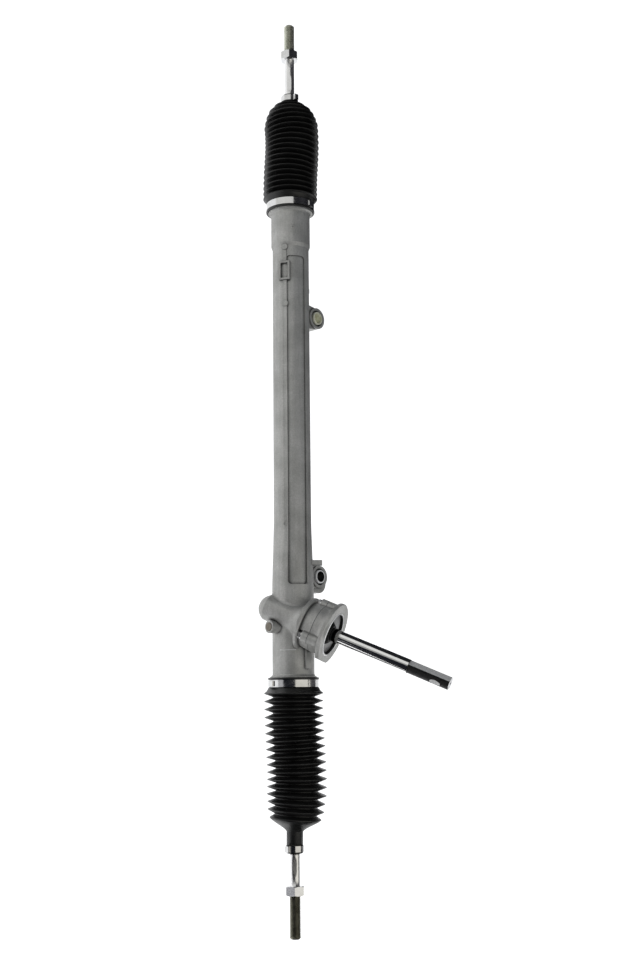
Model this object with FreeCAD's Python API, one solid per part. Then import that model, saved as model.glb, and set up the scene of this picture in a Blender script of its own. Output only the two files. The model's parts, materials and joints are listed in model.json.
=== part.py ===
"""Manual rack-and-pinion steering gear for a left-hand-drive car.

Row frame: +X along the rack towards the far end, +Y forward, +Z up along the mounting bores.
The origin lies in the mounting bore beside the pinion, level with the rack. Millimetres.
"""
import FreeCAD, Part
import math
import os

Vector = FreeCAD.Vector

# Fits and clearances, each between two radii or two faces
STATIC_FIT = 0.05
RUNNING_FIT = 0.04
SOFT_GAP = 0.3
WASHER_GAP = 0.02

# Places along and beside the rack
RACK_Y = 42.0
EAR_SPAN = 304.0
NEAR_END_X = -129.5
HOUSING_LENGTH = 567.7
PINION_X = -46.5
NEAR_BALL_REACH = 76.5
FAR_BALL_REACH = 34.8
FAR_END_X = NEAR_END_X + HOUSING_LENGTH
NEAR_BALL_X = NEAR_END_X - NEAR_BALL_REACH
FAR_BALL_X = FAR_END_X + FAR_BALL_REACH

# The photograph's viewing direction, which fixes where the cast details lie round the tube
VIEW_ANGLE = 42.2

# Margin by which a cutter runs past what it cuts
OVERRUN = 1.0

# Housing tube
TUBE_R = 21.0
NECK_R = 23.2
TAPER_END_X = 58.0
COLLAR_R = 22.5
COLLAR_LENGTH = 57.2
COLLAR_X = FAR_END_X - COLLAR_LENGTH
COLLAR_RAMP = 4.0
BORE_R = 14.5
COUNTERBORE_R = 18.5
COUNTERBORE_DEPTH = 40.0
FLANGE_R = 25.8
FLANGE_LENGTH = 17.0
FLANGE_FILLET = 3.0
BOOT_GROOVE_DEPTH = 0.8
BOOT_GROOVE_WIDTH = 6.0
EDGE_CHAMFER = 1.0

# Recessed panel, parting strip, pads and window on the front of the tube
PANEL_X = -12.0
PANEL_TO_FAR_END = 73.2
PANEL_END_X = FAR_END_X - PANEL_TO_FAR_END
PANEL_DEPTH = 1.5
PANEL_FROM = -13.0
PANEL_TO = 50.0
PANEL_CORNER = 4.0
STRIP_ANGLE = -17.0
STRIP_WIDTH = 4.0
STRIP_HEIGHT = 0.6
STRIP_PAST_PANEL = 10.0
PAD_R = 3.4
PAD_HEIGHT = 1.4
PAD_FROM_FAR_END = 63.2
PAD_SPACING = 67.0
PAD_STATIONS = (FAR_END_X - PAD_FROM_FAR_END - PAD_SPACING, FAR_END_X - PAD_FROM_FAR_END)
WINDOW_FROM_FAR_END = 91.2
WINDOW_X = FAR_END_X - WINDOW_FROM_FAR_END
WINDOW_ANGLE = -18.5
WINDOW_LENGTH = 22.0
WINDOW_WIDTH = 13.0
WINDOW_WALL = 2.2
WINDOW_HEIGHT = 1.8
WINDOW_FLOOR = 0.8

# Mounting ears, their rubber bushes and sleeves
EAR_R = 12.5
EAR_TOP_Z = 2.5
EAR_HEIGHT = 24.0
EAR_WEB_STEP = 2.0
EAR_ROOT_WIDTH = 34.0
EAR_LOBE_R = 11.5
EAR_LOBE_X = -7.0
EAR_LOBE_Y = -1.5
EAR_LOBE_STEP = 3.0
BUSH_R = 9.6
SLEEVE_R = 7.6
SLEEVE_BORE_R = 6.1
SLEEVE_PROUD = 1.5
SLEEVE_CHAMFER = 0.4
BUSH_SUNK = 1.5
TAB_X = 10.5
TAB_THICKNESS = 5.0
TAB_WIDTH = 16.0
TAB_REACH = 33.0
TAB_ANGLE = 90.0

# Rack bar and its teeth
BAR_R = 12.0
MODULE = 2.0
PRESSURE_ANGLE = 20.0
CROSSING_ANGLE = 22.9
RACK_TIP_HEIGHT = 8.0
RACK_ADDENDUM = 2.0
RACK_DEDENDUM = 2.05
RACK_TOOTH_COUNT = 25
RACK_TRAVEL_NEAR = 36.0
RACK_TRAVEL_FAR = 88.0
BAR_CHAMFER = 1.0

# Pinion teeth
PINION_TEETH = 7
PROFILE_SHIFT = 0.6
PINION_TIP_R = 10.4
PINION_DEDENDUM = 2.5
PINION_FACE = 30.0
BACKLASH = 0.14
TOOTH_SECTIONS = 11
TOOTH_ROOT_SUNK = 0.3
FLANK_START = 1.004
FLANK_POINTS = 4
ROOT_SPREAD = 0.02

# Pinion shaft, stations along its axis from the crossing with the rack
JOURNAL_R = 5.0
JOURNAL_START = -29.5
JOURNAL_SHOULDER = 1.0
SHOULDER_R = 9.5
BEARING_START = 24.5
BEARING_WIDTH = 10.0
BEARING_BORE_R = 8.5
BEARING_R = 17.5
SHAFT_R = 7.5
SHAFT_CLAMP_R = 7.1
SHAFT_END = 195.0
SHAFT_FLAT_LENGTH = 48.0
SHAFT_FLAT_DEPTH = 1.8
SHAFT_FLAT_ANGLE = -55.4
SHAFT_NOTCH_FROM_TIP = 15.0
SHAFT_NOTCH_R = 30.0
SHAFT_NOTCH_DEPTH = 1.1
SHAFT_NOTCH_ANGLE = 45.6
SHAFT_CHAMFER = 0.8
CENTRE_HOLE_R = 1.6
CENTRE_HOLE_DEPTH = 4.0

# Pinion bearing
RACE_WALL = 3.0
BALL_R = 2.38
BALL_COUNT = 10
CAGE_WALL = 1.2
CAGE_WIDTH = 6.4
RACE_GROOVE_GAP = 0.03
CLIP_R = 10.0
CLIP_WIDTH = 1.2
CLIP_DEPTH = 0.8
CLIP_GAP = 4.0

# Pinion tower of the housing
TOWER_R = 14.5
TOWER_BORE_R = 11.2
TOWER_END = -36.0
TOWER_DOME = 10.0
TOWER_FILLET = 4.0
FLARE_START = 4.0
FLARE_R = 22.5
LOWER_BUSH_R = 8.5
LOWER_BUSH_START = -29.0
LOWER_BUSH_LENGTH = 10.0
LOWER_BUSH_ROOM = 2.0
RIB_START = 21.0
RIB_END = 25.5
RIB_R = 29.5
HEAD_R = 25.0
JOINT_FACE = 38.0
LUG_R = 6.5
LUG_LENGTH = 7.0

# Pinion cover with its seal plate
GASKET_THICKNESS = 0.8
GASKET_INSET = 0.3
COVER_BODY_R = 26.5
COVER_FLARE = 7.0
COVER_FLARE_R = 29.5
PLATE_START = 51.5
PLATE_FACE = 56.0
PLATE_R = 35.0
PLATE_FLAT = 31.0
PLATE_FLAT_ANGLE = 82.6
PLATE_CHAMFER = 0.8
RECESS_R = 24.5
RECESS_FLOOR = 48.0
BEARING_STOP_R = 14.9
SEAL_START = 36.4
SEAL_WIDTH = 7.0
SEAL_R = 13.5
SEAL_LIP = 1.0
SEAL_SLOPE = 2.0
SEAL_WALL = 3.0
SEAL_ROOM = 3.0
DUST_SEAL_WIDTH = 4.0
DUST_SEAL_LIP_R = 13.0
DUST_SEAL_COLLAR = 2.0
DUST_SEAL_DIP = 0.6
DUST_SEAL_RISE = 1.6
DUST_SEAL_LIP = 1.6
RING_WALL = 1.6
RING_WIDTH = 3.5
RING_CROWN = 0.6
COVER_BOLT_COUNT = 3
COVER_BOLT_PCR = 25.5
COVER_BOLT_ANGLE = -92.4
COVER_BOLT_R = 3.0
COVER_BOLT_CLEARANCE = 0.3
COVER_BOLT_FLANGE_R = 5.2
COVER_BOLT_FLANGE = 1.2
COVER_BOLT_FLATS = 8.0
COVER_BOLT_HEAD = 4.4
COVER_BOLT_LENGTH = 15.0
COVER_BOLT_HEAD_ROOM = 0.6

# Yoke that presses the rack into the pinion, stations away from the rack axis
YOKE_R = 15.0
YOKE_START = 5.0
YOKE_END = 30.0
YOKE_LINER = 1.0
YOKE_LINER_LENGTH = 20.0
YOKE_LINER_ANGLE = 110.0
YOKE_POCKET_R = 9.0
YOKE_POCKET_DEPTH = 5.0
YOKE_BOSS_R = 21.0
YOKE_BOSS_END = 40.0
YOKE_PLAY = 0.1
YOKE_RING_WIDTH = 2.4
YOKE_RING_DEPTH = 1.6
YOKE_RING_AT = 25.0
PLUG_THREAD_R = 17.0
PLUG_LENGTH = 15.0
PLUG_SOCKET = 14.0
PLUG_SOCKET_DEPTH = 7.0
LOCK_NUT_R = 20.0
LOCK_NUT_WIDTH = 5.0
LOCK_NUT_SLOT = 5.0
LOCK_NUT_SLOT_COUNT = 4
LOCK_NUT_SLOT_DEPTH = 2.0
DISC_COUNT = 2
DISC_R = 8.6
DISC_BORE_R = 4.2
DISC_WALL = 1.1

# Small vent boss on the left of the tower, and its plug
VENT_X = -58.5
VENT_ANGLE = -50.0
VENT_BOSS_R = 7.0
VENT_REACH = 34.0
VENT_R = 4.8
VENT_DEPTH = 6.0
VENT_PROUD = 1.0
VENT_ROUNDING = 0.6
GUSSET_WIDTH = 6.0
GUSSET_HEIGHT = 3.0
GUSSET_ANGLE = 40.0
GUSSET_X = -104.0

# Plain bush that carries the rack at the far end
RACK_BUSH_LENGTH = 22.0
RACK_BUSH_INSET = 1.0
RACK_BUSH_SPLIT = 2.0

# Inner ball joints
BALL_R_INNER = 11.0
SEAT_WALL = 1.8
SOCKET_R = 16.8
SOCKET_MOUTH = 9.5
SOCKET_MOUTH_R = 14.3
MOUTH_ANGLE = 58.0
BALL_TO_BAR = 24.0
LOCK_WASHER = 1.5
LOCK_WASHER_R = 15.4
STEM_R = 7.0
STEM_LENGTH = 17.0
STEM_DEPTH_SPARE = 2.0
SOCKET_CHAMFER = 1.5
SOCKET_FLAT = 31.0
SOCKET_FLAT_LENGTH = 9.0
SEAT_VENT_R = 3.0
SEAT_VENT_DEPTH = 2.0

# Tie rods and jam nuts, stations outward from the ball's centre
ROD_R = 5.6
THREAD_R = 6.0
THREAD_GAP = 0.5
ROD_END = 184.0
ROD_TIP_CHAMFER = 1.4
BOOT_GROOVE_AT = 90.0
ROD_GROOVE_WIDTH = 6.0
ROD_GROOVE_R = 4.8
ROD_FLAT_START = 101.0
ROD_FLAT_LENGTH = 16.0
ROD_FLAT = 10.0
NUT_FLATS = 19.0
NUT_THICKNESS = 10.0
NUT_CHAMFER = 0.9
NEAR_NUT_AT = 129.0
FAR_NUT_AT = 140.0

# Boots, stations outward from the end of the boot's lip
LIP_R = 28.2
LIP_WIDTH = 2.5
LIP_PAST_FLANGE = 1.0
CUFF_R = 27.2
CUFF_STEP = 0.6
BAND_WIDTH = 7.8
BAND_WALL = 0.75
BAND_BUCKLE = 1.6
BUCKLE_LENGTH = 9.0
BUCKLE_INSET = 1.0
BUCKLE_ANGLE = 58.0
NEAR_CREST_R = 32.8
FAR_CREST_R = 31.6
ROOT_R = 22.8
BOOT_BORE_R = 21.3
BOOT_NECK_R = 9.0
BOOT_NECK_LENGTH = 14.0
BOOT_NECK_SETBACK = 2.0
BOOT_CONE_R = 11.5
BOOT_CONE_STEP = 1.0
BOOT_MOUTH_STEP = 1.0
LEAST_PLEAT = 3.0
FIRST_CREST = 17.2
NEAR_CREST_COUNT = 17
FAR_CREST_COUNT = 19
NEAR_CREST_SPAN = 134.0
FAR_CREST_SPAN = 114.6
NEAR_END_CRESTS = (31.6, 30.8, 28.3)
FAR_END_CRESTS = (30.2, 28.1, 24.8, 18.5)

# Small clamps on the boot necks
CLAMP_WALL = 0.9
CLAMP_WIDTH = 6.4
CLAMP_EAR_HEIGHT = 3.4
CLAMP_EAR_WIDTH = 5.0
CLAMP_EAR_WALL = 0.9
CLAMP_EAR_ANGLE = 40.0

FULL_TURN = 360.0
HALF_TURN = 180.0
BEYOND = 60.0

# Directions of the pinion: across the rack, along its own axis, and off the rack's axis
OFFSET_TILT = 23.7
RACK_AXIS_POINT = Vector(PINION_X, RACK_Y, 0.0)
ALONG = Vector(1.0, 0.0, 0.0)
UP = Vector(0.0, 0.0, 1.0)
FORWARD = Vector(0.0, 1.0, 0.0)


def radial(angle):
    """Unit vector square to the rack, turned from +Y towards +Z."""
    turn = math.radians(angle)
    return Vector(0.0, math.cos(turn), math.sin(turn))


OFF_RACK = radial(OFFSET_TILT)
ACROSS = ALONG.cross(OFF_RACK)
LEAN = math.radians(CROSSING_ANGLE)
PINION_AXIS = ALONG * -math.sin(LEAN) + ACROSS * math.cos(LEAN)
PITCH_R = MODULE * PINION_TEETH / (2.0 * math.cos(LEAN))
REFERENCE_HEIGHT = RACK_TIP_HEIGHT - RACK_ADDENDUM
CENTRE_DISTANCE = REFERENCE_HEIGHT + PITCH_R + PROFILE_SHIFT * MODULE
PINION_ROOT_R = PITCH_R + PROFILE_SHIFT * MODULE - PINION_DEDENDUM * MODULE / 2.0
LEAD = 2.0 * math.pi * PITCH_R / math.tan(LEAN)
TOOTH_PITCH = math.pi * MODULE
MOUTH_R_SEAT = BALL_R_INNER + RUNNING_FIT + SEAT_WALL
SOCKET_CAVITY_R = MOUTH_R_SEAT + RUNNING_FIT
COVER_START = JOINT_FACE + GASKET_THICKNESS
BEARING_END = BEARING_START + BEARING_WIDTH
BAR_NEAR_X = NEAR_BALL_X + BALL_TO_BAR
BAR_FAR_X = FAR_BALL_X - BALL_TO_BAR


def seat(origin, x_dir, y_dir):
    """Placement whose own X and Y point along the two directions."""
    rotation = FreeCAD.Rotation(x_dir, y_dir, x_dir.cross(y_dir), "XYZ")
    return FreeCAD.Placement(origin, rotation)


RACK_SEAT = seat(Vector(0.0, RACK_Y, 0.0), ALONG, FORWARD)
PINION_SEAT = seat(RACK_AXIS_POINT + OFF_RACK * CENTRE_DISTANCE, PINION_AXIS, OFF_RACK)
YOKE_SEAT = seat(RACK_AXIS_POINT, OFF_RACK * -1.0, ALONG)
NEAR_SIDE = seat(Vector(NEAR_BALL_X, RACK_Y, 0.0), ALONG * -1.0, radial(VIEW_ANGLE))
FAR_SIDE = seat(Vector(FAR_BALL_X, RACK_Y, 0.0), ALONG, radial(VIEW_ANGLE))


def placed(shape, placement):
    """The shape moved to a placement, with the move written into its geometry."""
    moved = shape.copy()
    moved.Placement = placement.multiply(moved.Placement)
    return moved


def turned(points, angle=FULL_TURN):
    """Solid of revolution about X from (station, radius) corners or arcs.

    A corner is a pair. An arc is a triple ("arc", middle, end) that starts at the corner before it.
    """
    corners = [p for p in points if p[0] != "arc"]
    start = Vector(corners[0][0], corners[0][1], 0.0)
    here = start
    edges = []
    for point in points[1:]:
        if point[0] == "arc":
            middle = Vector(point[1][0], point[1][1], 0.0)
            end = Vector(point[2][0], point[2][1], 0.0)
            edges.append(Part.Arc(here, middle, end).toShape())
        else:
            end = Vector(point[0], point[1], 0.0)
            edges.append(Part.makeLine(here, end))
        here = end
    if here.distanceToPoint(start) > 1e-6:
        edges.append(Part.makeLine(here, start))
    face = Part.Face(Part.Wire(edges))
    return face.revolve(Vector(0, 0, 0), ALONG, angle)


def rod(radius, start, end):
    """Plain cylinder about X."""
    return Part.makeCylinder(radius, end - start, Vector(start, 0, 0), ALONG)


def ring(outer, inner, start, end):
    """Plain ring about X."""
    return rod(outer, start, end).cut(rod(inner, start - OVERRUN, end + OVERRUN))


def block(x_from, x_to, y_from, y_to, z_from, z_to):
    """Box between two corners."""
    corner = Vector(x_from, y_from, z_from)
    return Part.makeBox(x_to - x_from, y_to - y_from, z_to - z_from, corner)


def spun(shape, angle):
    """The shape turned about X."""
    turned_shape = shape.copy()
    turned_shape.rotate(Vector(0, 0, 0), ALONG, angle)
    return turned_shape


def hexagon(across_flats, start, end):
    """Hexagonal prism about X."""
    corner = across_flats / math.sqrt(3.0)
    turns = [math.radians(FULL_TURN / 6.0 * i) for i in range(7)]
    points = [Vector(start, corner * math.cos(turn), corner * math.sin(turn)) for turn in turns]
    return Part.Face(Part.makePolygon(points)).extrude(ALONG * (end - start))


# Housing


def tube_outside():
    """Cast tube with its neck, collar and the flanges that the boots grip."""
    near_step = NEAR_END_X + FLANGE_LENGTH
    far_step = FAR_END_X - FLANGE_LENGTH
    bend = FLANGE_FILLET * (1.0 - math.sqrt(0.5))
    near_groove = NEAR_END_X + FLANGE_LENGTH / 2.0 - BOOT_GROOVE_WIDTH / 2.0
    far_groove = FAR_END_X - FLANGE_LENGTH / 2.0 - BOOT_GROOVE_WIDTH / 2.0
    groove_r = FLANGE_R - BOOT_GROOVE_DEPTH
    points = [
        (NEAR_END_X, 0.0),
        (NEAR_END_X, FLANGE_R - EDGE_CHAMFER),
        (NEAR_END_X + EDGE_CHAMFER, FLANGE_R),
        (near_groove, FLANGE_R),
        (near_groove, groove_r),
        (near_groove + BOOT_GROOVE_WIDTH, groove_r),
        (near_groove + BOOT_GROOVE_WIDTH, FLANGE_R),
        (near_step, FLANGE_R),
        ("arc", (near_step + bend, NECK_R + bend), (near_step + FLANGE_FILLET, NECK_R)),
        (PANEL_X, NECK_R),
        (TAPER_END_X, TUBE_R),
        (COLLAR_X - COLLAR_RAMP, TUBE_R),
        (COLLAR_X, COLLAR_R),
        (far_step - FLANGE_FILLET, COLLAR_R),
        ("arc", (far_step - bend, COLLAR_R + bend), (far_step, FLANGE_R)),
        (far_groove, FLANGE_R),
        (far_groove, groove_r),
        (far_groove + BOOT_GROOVE_WIDTH, groove_r),
        (far_groove + BOOT_GROOVE_WIDTH, FLANGE_R),
        (FAR_END_X - EDGE_CHAMFER, FLANGE_R),
        (FAR_END_X, FLANGE_R - EDGE_CHAMFER),
        (FAR_END_X, 0.0),
    ]
    return placed(turned(points), RACK_SEAT)


def cap_arc(start, depth, radius):
    """Arc that domes the closed end of a round body: its middle and its end."""
    bend_r = (depth ** 2 + radius ** 2) / (2.0 * depth)
    half = math.asin(radius / bend_r) / 2.0
    middle = (start + bend_r * (1.0 - math.cos(half)), bend_r * math.sin(half))
    return ("arc", middle, (start + depth, radius))


def flare_arc(start, start_r, end, end_r):
    """Hollow arc that leaves a cylinder smoothly and widens to a larger radius: its middle and its end."""
    length, rise = end - start, end_r - start_r
    bend_r = (length ** 2 + rise ** 2) / (2.0 * rise)
    half = math.asin(length / bend_r) / 2.0
    middle = (start + bend_r * math.sin(half), start_r + bend_r * (1.0 - math.cos(half)))
    return ("arc", middle, (end, end_r))


def tower_barrel():
    """Slim closed barrel round the pinion, which flares into the bearing housing."""
    points = [
        (TOWER_END, 0.0),
        cap_arc(TOWER_END, TOWER_DOME, TOWER_R),
        (FLARE_START, TOWER_R),
        flare_arc(FLARE_START, TOWER_R, RIB_START, FLARE_R),
        (RIB_START, 0.0),
    ]
    return placed(turned(points), PINION_SEAT)


def tower_head():
    """Bearing housing above the barrel, with its rib and the cover's joint."""
    points = [
        (RIB_START, 0.0),
        (RIB_START, RIB_R - EDGE_CHAMFER),
        (RIB_START + EDGE_CHAMFER, RIB_R),
        (RIB_END - EDGE_CHAMFER, RIB_R),
        (RIB_END, RIB_R - EDGE_CHAMFER),
        (RIB_END, HEAD_R),
        (JOINT_FACE, COVER_BODY_R),
        (JOINT_FACE, 0.0),
    ]
    return placed(turned(points), PINION_SEAT)


def tube_and_tower():
    """Tube and barrel with a cast fillet where they meet."""
    joined = tube_outside().fuse(tower_barrel())
    seam = [edge for edge in joined.Edges if is_saddle(edge)]
    return joined.makeFillet(TOWER_FILLET, seam).fuse(tower_head())


def is_saddle(edge):
    """True for a curved edge that is no circle, as where the barrel runs into the tube."""
    return not edge.Degenerated and not isinstance(edge.Curve, (Part.Line, Part.Circle))


def yoke_outside():
    """Round boss behind the rack that holds the yoke."""
    points = [
        (0.0, 0.0),
        (0.0, YOKE_BOSS_R),
        (YOKE_BOSS_END - EDGE_CHAMFER, YOKE_BOSS_R),
        (YOKE_BOSS_END, YOKE_BOSS_R - EDGE_CHAMFER),
        (YOKE_BOSS_END, 0.0),
    ]
    return placed(turned(points), YOKE_SEAT)


def ear_outside(x, lobe):
    """Mounting ear: an eye on a web that spreads into the tube."""
    base_z = EAR_TOP_Z - EAR_HEIGHT
    web_z = base_z + EAR_WEB_STEP
    eye = Part.makeCylinder(EAR_R, EAR_HEIGHT, Vector(x, 0.0, base_z), UP)
    half = EAR_ROOT_WIDTH / 2.0
    root_y = RACK_Y - TUBE_R / 2.0
    corners = [
        Vector(x - EAR_R, 0.0, web_z),
        Vector(x + EAR_R, 0.0, web_z),
        Vector(x + half, root_y, web_z),
        Vector(x - half, root_y, web_z),
    ]
    corners.append(corners[0])
    web = Part.Face(Part.makePolygon(corners)).extrude(UP * (EAR_HEIGHT - 2.0 * EAR_WEB_STEP))
    shape = eye.fuse(web)
    if lobe:
        centre = Vector(x + EAR_LOBE_X, EAR_LOBE_Y, base_z)
        side = Part.makeCylinder(EAR_LOBE_R, EAR_HEIGHT - EAR_LOBE_STEP, centre, UP)
        shape = shape.fuse(side)
    return shape.removeSplitter()


def tab_outside():
    """Small flat tab beside the near ear."""
    tab = block(TAB_X, TAB_X + TAB_THICKNESS, TUBE_R / 2.0, TAB_REACH, -TAB_WIDTH / 2.0, TAB_WIDTH / 2.0)
    return placed(spun(tab, VIEW_ANGLE + TAB_ANGLE), RACK_SEAT)


def vent_outside():
    """Small boss beside the tower that holds the vent plug."""
    boss = Part.makeCylinder(VENT_BOSS_R, VENT_REACH, Vector(VENT_X, 0.0, 0.0), FORWARD)
    return placed(spun(boss, VIEW_ANGLE + VENT_ANGLE), RACK_SEAT)


def gusset():
    """Rib along the neck below the cover."""
    rib = block(GUSSET_X, PINION_X, TUBE_R / 2.0, NECK_R + GUSSET_HEIGHT,
                -GUSSET_WIDTH / 2.0, GUSSET_WIDTH / 2.0)
    return placed(spun(rib, VIEW_ANGLE + GUSSET_ANGLE), RACK_SEAT)


def strip_details():
    """Parting strip, ejector pads and window frame cast on the front of the tube."""
    half = STRIP_WIDTH / 2.0
    top = TUBE_R + STRIP_HEIGHT
    strip = block(PANEL_X, PANEL_END_X + STRIP_PAST_PANEL, TUBE_R / 2.0, top, -half, half)
    parts = [spun(strip, VIEW_ANGLE + STRIP_ANGLE)]
    for station in PAD_STATIONS:
        pad = Part.makeCylinder(PAD_R, TUBE_R + PAD_HEIGHT, Vector(station, 0, 0), FORWARD)
        parts.append(spun(pad, VIEW_ANGLE + STRIP_ANGLE))
    frame = block(WINDOW_X - WINDOW_LENGTH / 2.0, WINDOW_X + WINDOW_LENGTH / 2.0, TUBE_R / 2.0,
                  TUBE_R + WINDOW_HEIGHT, -WINDOW_WIDTH / 2.0, WINDOW_WIDTH / 2.0)
    parts.append(spun(frame, VIEW_ANGLE + WINDOW_ANGLE))
    return [placed(part, RACK_SEAT) for part in parts]


def panel_cutter():
    """Ring sector that sinks the long panel into the tube, with rounded corners."""
    low = TUBE_R - PANEL_DEPTH
    high = TUBE_R + PANEL_CORNER
    outline = [(PANEL_X, low), (PANEL_X, high), (PANEL_END_X, high), (PANEL_END_X, low)]
    sector = turned(outline, PANEL_TO - PANEL_FROM)
    corners = [edge for edge in sector.Edges if is_radial(edge)]
    rounded = sector.makeFillet(PANEL_CORNER, corners)
    return placed(spun(rounded, VIEW_ANGLE + PANEL_FROM), RACK_SEAT)


def is_radial(edge):
    """True for a straight edge square to the rack."""
    ends = edge.Vertexes
    return len(ends) == 2 and abs(ends[0].X - ends[1].X) < 1e-6 and isinstance(edge.Curve, Part.Line)


def window_cutter():
    """Pocket inside the window frame."""
    floor = TUBE_R - WINDOW_FLOOR
    over = TUBE_R + WINDOW_HEIGHT + OVERRUN
    half_length = WINDOW_LENGTH / 2.0 - WINDOW_WALL
    half_width = WINDOW_WIDTH / 2.0 - WINDOW_WALL
    pocket = block(WINDOW_X - half_length, WINDOW_X + half_length, floor, over, -half_width, half_width)
    return placed(spun(pocket, VIEW_ANGLE + WINDOW_ANGLE), RACK_SEAT)


def housing_bores():
    """Every bore that is machined into the casting."""
    floor_near = NEAR_END_X + COUNTERBORE_DEPTH
    floor_far = FAR_END_X - COUNTERBORE_DEPTH
    rack_bore = turned([
        (NEAR_END_X - OVERRUN, 0.0),
        (NEAR_END_X - OVERRUN, COUNTERBORE_R),
        (floor_near, COUNTERBORE_R),
        (floor_near, BORE_R),
        (floor_far, BORE_R),
        (floor_far, COUNTERBORE_R),
        (FAR_END_X + OVERRUN, COUNTERBORE_R),
        (FAR_END_X + OVERRUN, 0.0),
    ])
    bush_floor = LOWER_BUSH_START - LOWER_BUSH_ROOM
    bush_end = LOWER_BUSH_START + LOWER_BUSH_LENGTH
    pinion_bore = turned([
        (bush_floor, 0.0),
        (bush_floor, LOWER_BUSH_R + STATIC_FIT),
        (bush_end, LOWER_BUSH_R + STATIC_FIT),
        (bush_end, TOWER_BORE_R),
        (BEARING_START, TOWER_BORE_R),
        (BEARING_START, BEARING_R + STATIC_FIT),
        (JOINT_FACE + OVERRUN, BEARING_R + STATIC_FIT),
        (JOINT_FACE + OVERRUN, 0.0),
    ])
    thread_floor = YOKE_END + YOKE_PLAY
    yoke_bore = turned([
        (YOKE_START - OVERRUN, 0.0),
        (YOKE_START - OVERRUN, YOKE_R + STATIC_FIT),
        (thread_floor, YOKE_R + STATIC_FIT),
        (thread_floor, PLUG_THREAD_R + STATIC_FIT),
        (YOKE_BOSS_END + OVERRUN, PLUG_THREAD_R + STATIC_FIT),
        (YOKE_BOSS_END + OVERRUN, 0.0),
    ])
    cutters = [placed(rack_bore, RACK_SEAT), placed(pinion_bore, PINION_SEAT), placed(yoke_bore, YOKE_SEAT)]
    for x in (0.0, EAR_SPAN):
        low = Vector(x, 0.0, EAR_TOP_Z - EAR_HEIGHT - OVERRUN)
        cutters.append(Part.makeCylinder(BUSH_R + STATIC_FIT, EAR_HEIGHT + 2.0 * OVERRUN, low, UP))
    vent_floor = Vector(VENT_X, VENT_REACH - VENT_DEPTH, 0.0)
    vent = Part.makeCylinder(VENT_R + STATIC_FIT, VENT_DEPTH + OVERRUN, vent_floor, FORWARD)
    cutters.append(placed(spun(vent, VIEW_ANGLE + VENT_ANGLE), RACK_SEAT))
    seat_at = cover_bolt_seat()
    for angle in cover_bolt_angles():
        hole = rod(COVER_BOLT_R + COVER_BOLT_CLEARANCE, seat_at - OVERRUN, JOINT_FACE + OVERRUN)
        pocket = rod(COVER_BOLT_FLANGE_R + COVER_BOLT_HEAD_ROOM, RIB_END, seat_at)
        cutters.append(placed(cover_bolt_turn(hole, angle), PINION_SEAT))
        cutters.append(placed(cover_bolt_turn(pocket, angle), PINION_SEAT))
    return cutters


def cover_bolt_angles():
    """Angles of the cover bolts about the pinion, from the direction off the rack."""
    step = FULL_TURN / COVER_BOLT_COUNT
    return [COVER_BOLT_ANGLE + step * i for i in range(COVER_BOLT_COUNT)]


def cover_bolt_turn(shape, angle):
    """A shape on the pinion's axis moved out to one bolt."""
    moved = shape.copy()
    moved.translate(Vector(0.0, COVER_BOLT_PCR, 0.0))
    return spun(moved, angle)


def cover_bolt_seat():
    """Station of the face under the housing's lugs, where the bolt heads bear."""
    return JOINT_FACE - LUG_LENGTH


def cover_bolt_tip():
    """Station where the cover bolts end."""
    return cover_bolt_seat() + COVER_BOLT_LENGTH


def bolt_lugs():
    """Lugs on the bearing housing that the cover bolts pass through."""
    lugs = []
    for angle in cover_bolt_angles():
        lug = rod(LUG_R, cover_bolt_seat(), JOINT_FACE)
        lugs.append(placed(cover_bolt_turn(lug, angle), PINION_SEAT))
    return lugs


def rack_housing():
    """The whole casting."""
    body = tube_and_tower().fuse(yoke_outside())
    body = body.multiFuse([
        ear_outside(0.0, True),
        ear_outside(EAR_SPAN, False),
        tab_outside(),
        vent_outside(),
        gusset(),
    ] + bolt_lugs())
    body = body.cut(panel_cutter())
    body = body.multiFuse(strip_details())
    body = body.cut(Part.makeCompound([window_cutter()] + housing_bores()))
    return body.removeSplitter()


# Mounting bushes


def ear_rubber(x):
    """Rubber bush pressed into an ear."""
    low = EAR_TOP_Z - EAR_HEIGHT
    height = EAR_HEIGHT - BUSH_SUNK
    outer = Part.makeCylinder(BUSH_R, height, Vector(x, 0.0, low), UP)
    bore_start = Vector(x, 0.0, low - OVERRUN)
    inner = Part.makeCylinder(SLEEVE_R + STATIC_FIT, height + 2.0 * OVERRUN, bore_start, UP)
    return outer.cut(inner)


def ear_sleeve(x):
    """Steel sleeve that the mounting bolt passes through."""
    low = EAR_TOP_Z - EAR_HEIGHT - SLEEVE_PROUD
    height = EAR_HEIGHT + 2.0 * SLEEVE_PROUD
    outer = Part.makeCylinder(SLEEVE_R, height, Vector(x, 0.0, low), UP)
    rims = [edge for edge in outer.Edges if isinstance(edge.Curve, Part.Circle)]
    outer = outer.makeChamfer(SLEEVE_CHAMFER, rims)
    bore_start = Vector(x, 0.0, low - OVERRUN)
    inner = Part.makeCylinder(SLEEVE_BORE_R, height + 2.0 * OVERRUN, bore_start, UP)
    return outer.cut(inner)


# Pinion cover


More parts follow.
